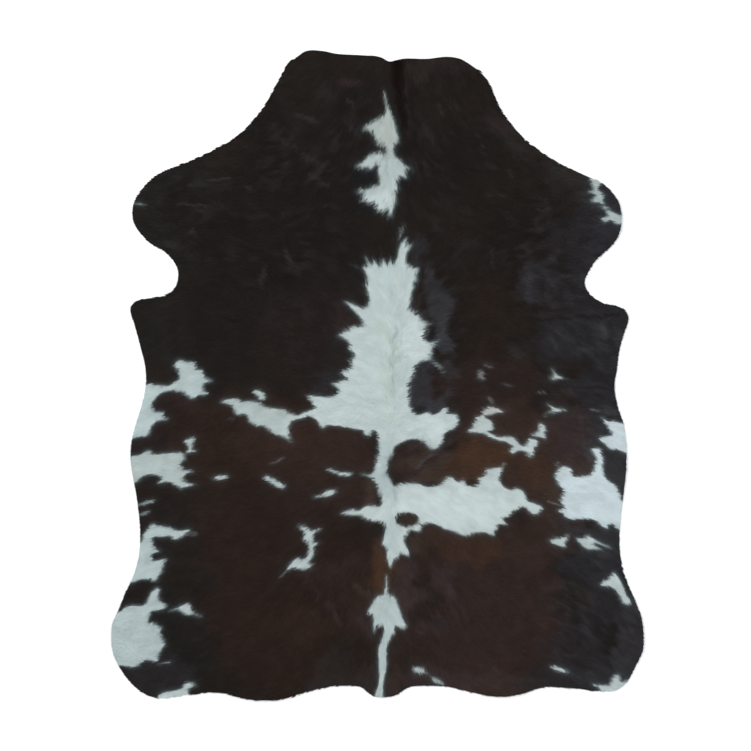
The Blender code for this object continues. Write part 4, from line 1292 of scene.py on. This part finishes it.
# %% Clumps
CLUMP_CELL = 11 * MM
CLUMP_STRETCH = 2.2
CLUMP_FIELD = 4.0
NEIGHBOURS = range(-2, 3)


def clumps(points, ways, cell, stretch, seed):
    """The middle of the clump that each point belongs to, and that clump's own random numbers."""
    made = np.random.default_rng(seed)
    side = int(CLUMP_FIELD / cell)
    spots, numbers = made.uniform(0, 1, (side, side, 2)), made.uniform(-1, 1, (side, side, 3))
    home = np.floor(points / cell).astype(int)
    nearest = np.full(len(points), np.inf)
    middle, number = np.zeros((len(points), 2)), np.zeros((len(points), 3))
    for step in np.stack(np.meshgrid(NEIGHBOURS, NEIGHBOURS), -1).reshape(-1, 2):
        spot = home + step
        i, j = spot[:, 0] % side, spot[:, 1] % side
        centre = (spot + spots[i, j]) * cell
        away = centre - points
        along = (away * ways).sum(1) / stretch
        across = away[:, 1] * ways[:, 0] - away[:, 0] * ways[:, 1]
        gap = along ** 2 + across ** 2
        closer = gap < nearest
        nearest[closer] = gap[closer]
        middle[closer] = centre[closer]
        number[closer] = numbers[i, j][closer]
    return middle, number


clump_middle, clump_luck = clumps(root, way, CLUMP_CELL, CLUMP_STRETCH, seed=22)
towards = ((clump_middle - root) * left).sum(1)

# %% Locks that would hang over the edge are cut
NEAR_EDGE = 1.3
near_edge = edge_depth < LOCK_LENGTH * NEAR_EDGE
tip_depth = depth_inside((root + way * length[:, None])[near_edge], coarse_edge, 5 * CM)
room = edge_depth[near_edge]
over = tip_depth < -OVERHANG
shorter = np.ones(len(room))
shorter[over] = (room[over] + OVERHANG) / (room[over] - tip_depth[over])
length[near_edge] *= shorter
print(over.sum(), "locks at the edge are cut short")

# %% Shape of the locks
# A lock bends a little, and its middle and its tip are drawn towards the middle of its clump.
MIDDLE = 0.45
BEND = 0.9 * MM
BEND_AT_TIP = 0.5
MIDDLE_PULL = 0.3
TIP_PULL = 0.62
SHORT_LOCK_WIDTH = 0.35
SHORT_LOCK_LIFT = 0.3
WISP_LIFT = 1.3
WISP_LIFT_SPREAD = (0.9, 1.1)
ROOT_DEPTH = 0.6 * MM
MIDDLE_RISE = 0.55
bend = luck.normal(0, BEND, count)
middle_at = root + way * (MIDDLE * length)[:, None] + left * (bend + MIDDLE_PULL * towards)[:, None]
tip = root + way * length[:, None] + left * (TIP_PULL * towards - BEND_AT_TIP * bend)[:, None]
width = LOCK_WIDTH * luck.uniform(*SIZE_SPREAD, count)
width = width * np.clip(length / LOCK_LENGTH + SHORT_LOCK_WIDTH, 0.5, 1)
width[is_wisp] = WISP_LOCK_WIDTH
half = left * (width / 2)[:, None]
lift = luck.uniform(*SIZE_SPREAD, count) * np.clip(length / LOCK_LENGTH, SHORT_LOCK_LIFT, 1)
lift[is_wisp] = WISP_LIFT * luck.uniform(*WISP_LIFT_SPREAD, is_wisp.sum())
lift *= 1 - WHITE_FLATNESS * whiteness(root)[0]
points = np.empty((count, 5, 3))
points[:, 0, :2], points[:, 0, 2] = root, skin_top(root) - ROOT_DEPTH
points[:, 1, :2] = middle_at + half
points[:, 2, :2] = middle_at
points[:, 3, :2] = middle_at - half
points[:, 4, :2] = tip
middle_height = skin_top(middle_at) + MIDDLE_RISE * TIP_RISE * lift
points[:, 1, 2] = middle_height
points[:, 2, 2] = middle_height + np.where(is_wisp, RIDGE / 2, RIDGE)
points[:, 3, 2] = middle_height
points[:, 4, 2] = skin_top(tip) + TIP_RISE * lift
print(f"the coat reaches {points[..., 2].max() / MM:.1f} mm above the floor")

# %% Colour of the locks
# A lock shows the colour of this place along it, moved to and fro by its clump's or its own reach.
SEEN = 0.62
SEEN_PULL = 0.5
SEEN_SPREAD = 1.2 * MM
TUFT_REACH = 7 * MM
WISP_REACH = 9 * MM
CLUMP_TONE = 0.08
LOCK_TONE = 0.045
WHITE_EVENNESS = 0.88
TIP_FADE = 0.6
ragged = raggedness(root)
reach = np.where(is_wisp, WISP_REACH * luck.uniform(-1, 1, count), TUFT_REACH * clump_luck[:, 0])
seen_at = root + way * (SEEN * length + reach * ragged)[:, None]
seen_at += left * (SEEN_PULL * towards)[:, None]
seen_at += luck.normal(0, SEEN_SPREAD, (count, 2)) * ragged[:, None]
lock_white, lock_stray = whiteness(seen_at)
lock_tone = coat_colour(seen_at, lock_white, lock_stray)
unevenness = 1 - WHITE_EVENNESS * lock_white
own_tone = CLUMP_TONE * clump_luck[:, 1] + luck.normal(0, LOCK_TONE, count)
lock_tone *= (1 + own_tone * unevenness)[:, None]
under_tip = coat_colour(tip, *whiteness(tip))
tip_tone = lock_tone + (under_tip - lock_tone) * TIP_FADE
print(f"{(lock_white > 0.5).mean():.0%} of the locks are white")

# %% Shading of the locks
SIDE_TILT = 0.22
LEAN_SPREAD = 0.06
WHITE_SMOOTHNESS = 0.85
SLOPE_STEP = 8 * MM


def upright(points):
    """The direction straight out of the skin, from the slope of its folds."""
    across = (fold(points + (SLOPE_STEP, 0)) - fold(points - (SLOPE_STEP, 0))) / (2 * SLOPE_STEP)
    along = (fold(points + (0, SLOPE_STEP)) - fold(points - (0, SLOPE_STEP))) / (2 * SLOPE_STEP)
    return np.column_stack([-across, -along, np.ones(len(points))])


relief = (1 - WHITE_SMOOTHNESS * lock_white)[:, None]
tilt = np.column_stack([left, np.zeros(count)]) * SIDE_TILT * relief
lean = np.column_stack([way, np.zeros(count)]) * luck.normal(0, LEAN_SPREAD, count)[:, None] * relief
outwards = upright(middle_at)[:, None] + np.stack([lean, lean + tilt, lean, lean - tilt, lean], 1)
outwards /= np.linalg.norm(outwards, axis=2)[..., None]

# %% [markdown]
# ## One piece of coat
# A piece is made from its share of the arrays. Two maps go with it. `lock` runs along and across every
# lock and carries the fine strands. `OFBake` gives each lock a small cell of its own, in the same order as
# the locks lie on the hide, so that the colours can be kept in one picture.

# %% Build a piece of coat
LOCK_FACES = np.array([(0, 3, 2), (0, 2, 1), (0, 1, 3), (2, 3, 4), (1, 2, 4), (3, 1, 4)])
LOCK_POINTS = 5
TIP = 4
# For each point of a lock: how far along the lock it lies, and how far across its upper and under sides.
ALONG = np.array([0.0, MIDDLE, MIDDLE, MIDDLE, 1.0])
UPPER_ACROSS = np.array([0.62, 0.96, 0.62, 0.30, 0.62])
UNDER_ACROSS = np.array([0.15, 0.04, 0.15, 0.26, 0.15])
IS_UNDER = np.array([False, False, True, False, False, True])
# Each lock reads its strands from its own place in the noise, and keeps this margin in its cell.
STRAND_SPREAD = 40
CELL_MARGIN = 0.04


def cell_corners(number):
    """Each lock's cell in a square map, in columns of locks that lie close together, and its side."""
    side = int(np.ceil(np.sqrt(len(number))))
    by_x = np.argsort(root[number, 0], kind="stable")
    corner = np.empty((len(number), 2))
    for column in range(side):
        part = by_x[column * side:(column + 1) * side]
        part = part[np.argsort(root[number[part], 1], kind="stable")]
        corner[part, 0] = column / side
        corner[part, 1] = np.arange(len(part)) / side
    return corner, 1 / side


def lock_meshes(name, number):
    """One joined mesh of the locks with these numbers."""
    total = len(number)
    mesh = bpy.data.meshes.new(name)
    mesh.vertices.add(total * LOCK_POINTS)
    mesh.vertices.foreach_set("co", points[number].astype(np.float32).ravel())
    corners = (np.arange(total)[:, None, None] * LOCK_POINTS + LOCK_FACES).ravel()
    mesh.loops.add(len(corners))
    mesh.loops.foreach_set("vertex_index", corners.astype(np.int32))
    mesh.polygons.add(total * len(LOCK_FACES))
    mesh.polygons.foreach_set("loop_start", np.arange(0, len(corners), 3, dtype=np.int32))
    mesh.update(calc_edges=True)
    return mesh


# %% Colours, maps and shading of a piece
def colour_locks(mesh, number):
    """The colour of each lock, its tip's colour, and how white it is."""
    colour = np.ones((len(number), LOCK_POINTS, 4), np.float32)
    colour[..., :3] = lock_tone[number][:, None]
    colour[:, TIP, :3] = tip_tone[number]
    mesh.attributes.new("tone", "FLOAT_COLOR", "POINT").data.foreach_set("color", colour.ravel())
    pale = np.repeat(lock_white[number], LOCK_POINTS).astype(np.float32)
    mesh.attributes.new("white", "FLOAT", "POINT").data.foreach_set("value", pale)


def map_locks(mesh, number):
    """The two maps of the locks: their strands, and a cell for each of them."""
    corner_shape = (len(number), *LOCK_FACES.shape)
    across = np.where(IS_UNDER[:, None], UNDER_ACROSS[LOCK_FACES], UPPER_ACROSS[LOCK_FACES])
    along = ALONG[LOCK_FACES]
    of_clump = clump_luck[number, 2][:, None, None] * STRAND_SPREAD
    of_lock = luck_of_lock[number][:, None, None] * STRAND_SPREAD
    own = np.stack([np.broadcast_to(across, corner_shape) + of_clump,
                    np.broadcast_to(along, corner_shape) + of_lock], -1)
    mesh.uv_layers.new(name="lock").uv.foreach_set("vector", own.astype(np.float32).ravel())
    corner, side = cell_corners(number)
    cell = np.stack([np.broadcast_to(CELL_MARGIN + (1 - 2 * CELL_MARGIN) * along, corner_shape),
                     np.broadcast_to(across, corner_shape)], -1)
    cell = corner[:, None, None] + cell * side
    mesh.uv_layers.new(name="OFBake").uv.foreach_set("vector", cell.astype(np.float32).ravel())


def coat_piece(name, number):
    """One piece of coat, with the locks of these numbers."""
    mesh = lock_meshes(name, number)
    colour_locks(mesh, number)
    map_locks(mesh, number)
    mesh.shade_smooth()
    mesh.normals_split_custom_set_from_vertices(outwards[number].reshape(-1, 3))
    piece = bpy.data.objects.new(name, mesh)
    bpy.context.collection.objects.link(piece)
    print(name, "has", len(number), "locks and", len(mesh.polygons), "triangles")
    return piece


# %% The five pieces of coat
luck_of_lock = luck.uniform(0, 1, count)
PIECES = ["coat_neck_and_shoulders", "coat_ribs", "coat_belly", "coat_loins", "coat_rump"]
from_neck = np.argsort(-root[:, 1], kind="stable")
coat = [coat_piece(name, part) for name, part in zip(PIECES, np.array_split(from_neck, len(PIECES)))]

# %% [markdown]
# ## The finish of the hair
# Hair is smooth along a strand and broken up across it. A noise that is stretched along each lock shows as
# strands in the colour and in the bump. White hair is duller than dark hair. The gloss itself stays low,
# because short hair scatters most of the light.

# %% Hair finish
STRANDS_ACROSS_AND_ALONG = (7.0, 1.3, 1.0)
STRAND_CONTRAST = 0.6
LESS_CONTRAST_IN_WHITE = 0.5
DARK_ROUGHNESS = 0.52
ROUGHER_IN_WHITE = 0.2
ROUGHER_IN_STRANDS = 0.1
hair, shader, wire = new_finish("coat hair", 0.6, 0.03)
tone = wire.make("ShaderNodeAttribute", {"attribute_name": "tone"}, output="Color")
pale = wire.make("ShaderNodeAttribute", {"attribute_name": "white"}, output="Fac")
own = wire.make("ShaderNodeUVMap", {"uv_map": "lock"})
drawn = wire.make("ShaderNodeMapping", values={"Vector": own, "Scale": STRANDS_ACROSS_AND_ALONG})
strands = wire.make("ShaderNodeTexNoise", values={"Vector": drawn, "Scale": 1.0, "Detail": 2.0})
shade = 1 + (strands - 0.5) * (STRAND_CONTRAST - LESS_CONTRAST_IN_WHITE * pale)
hair_tone = wire.make("ShaderNodeVectorMath", {"operation": "SCALE"}, {0: tone, "Scale": shade})
bump = wire.make("ShaderNodeBump", values={"Strength": 0.2, "Distance": 0.0003, "Height": strands},
                 output="Normal")
join(hair.node_tree, hair_tone, shader.inputs["Base Color"])
roughness = DARK_ROUGHNESS + ROUGHER_IN_WHITE * pale + ROUGHER_IN_STRANDS * strands
join(hair.node_tree, roughness, shader.inputs["Roughness"])
join(hair.node_tree, bump, shader.inputs["Normal"])
for piece in coat:
    piece.data.materials.append(hair)
    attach(piece, "root")
print(hair.name, "is on", len(coat), "pieces")
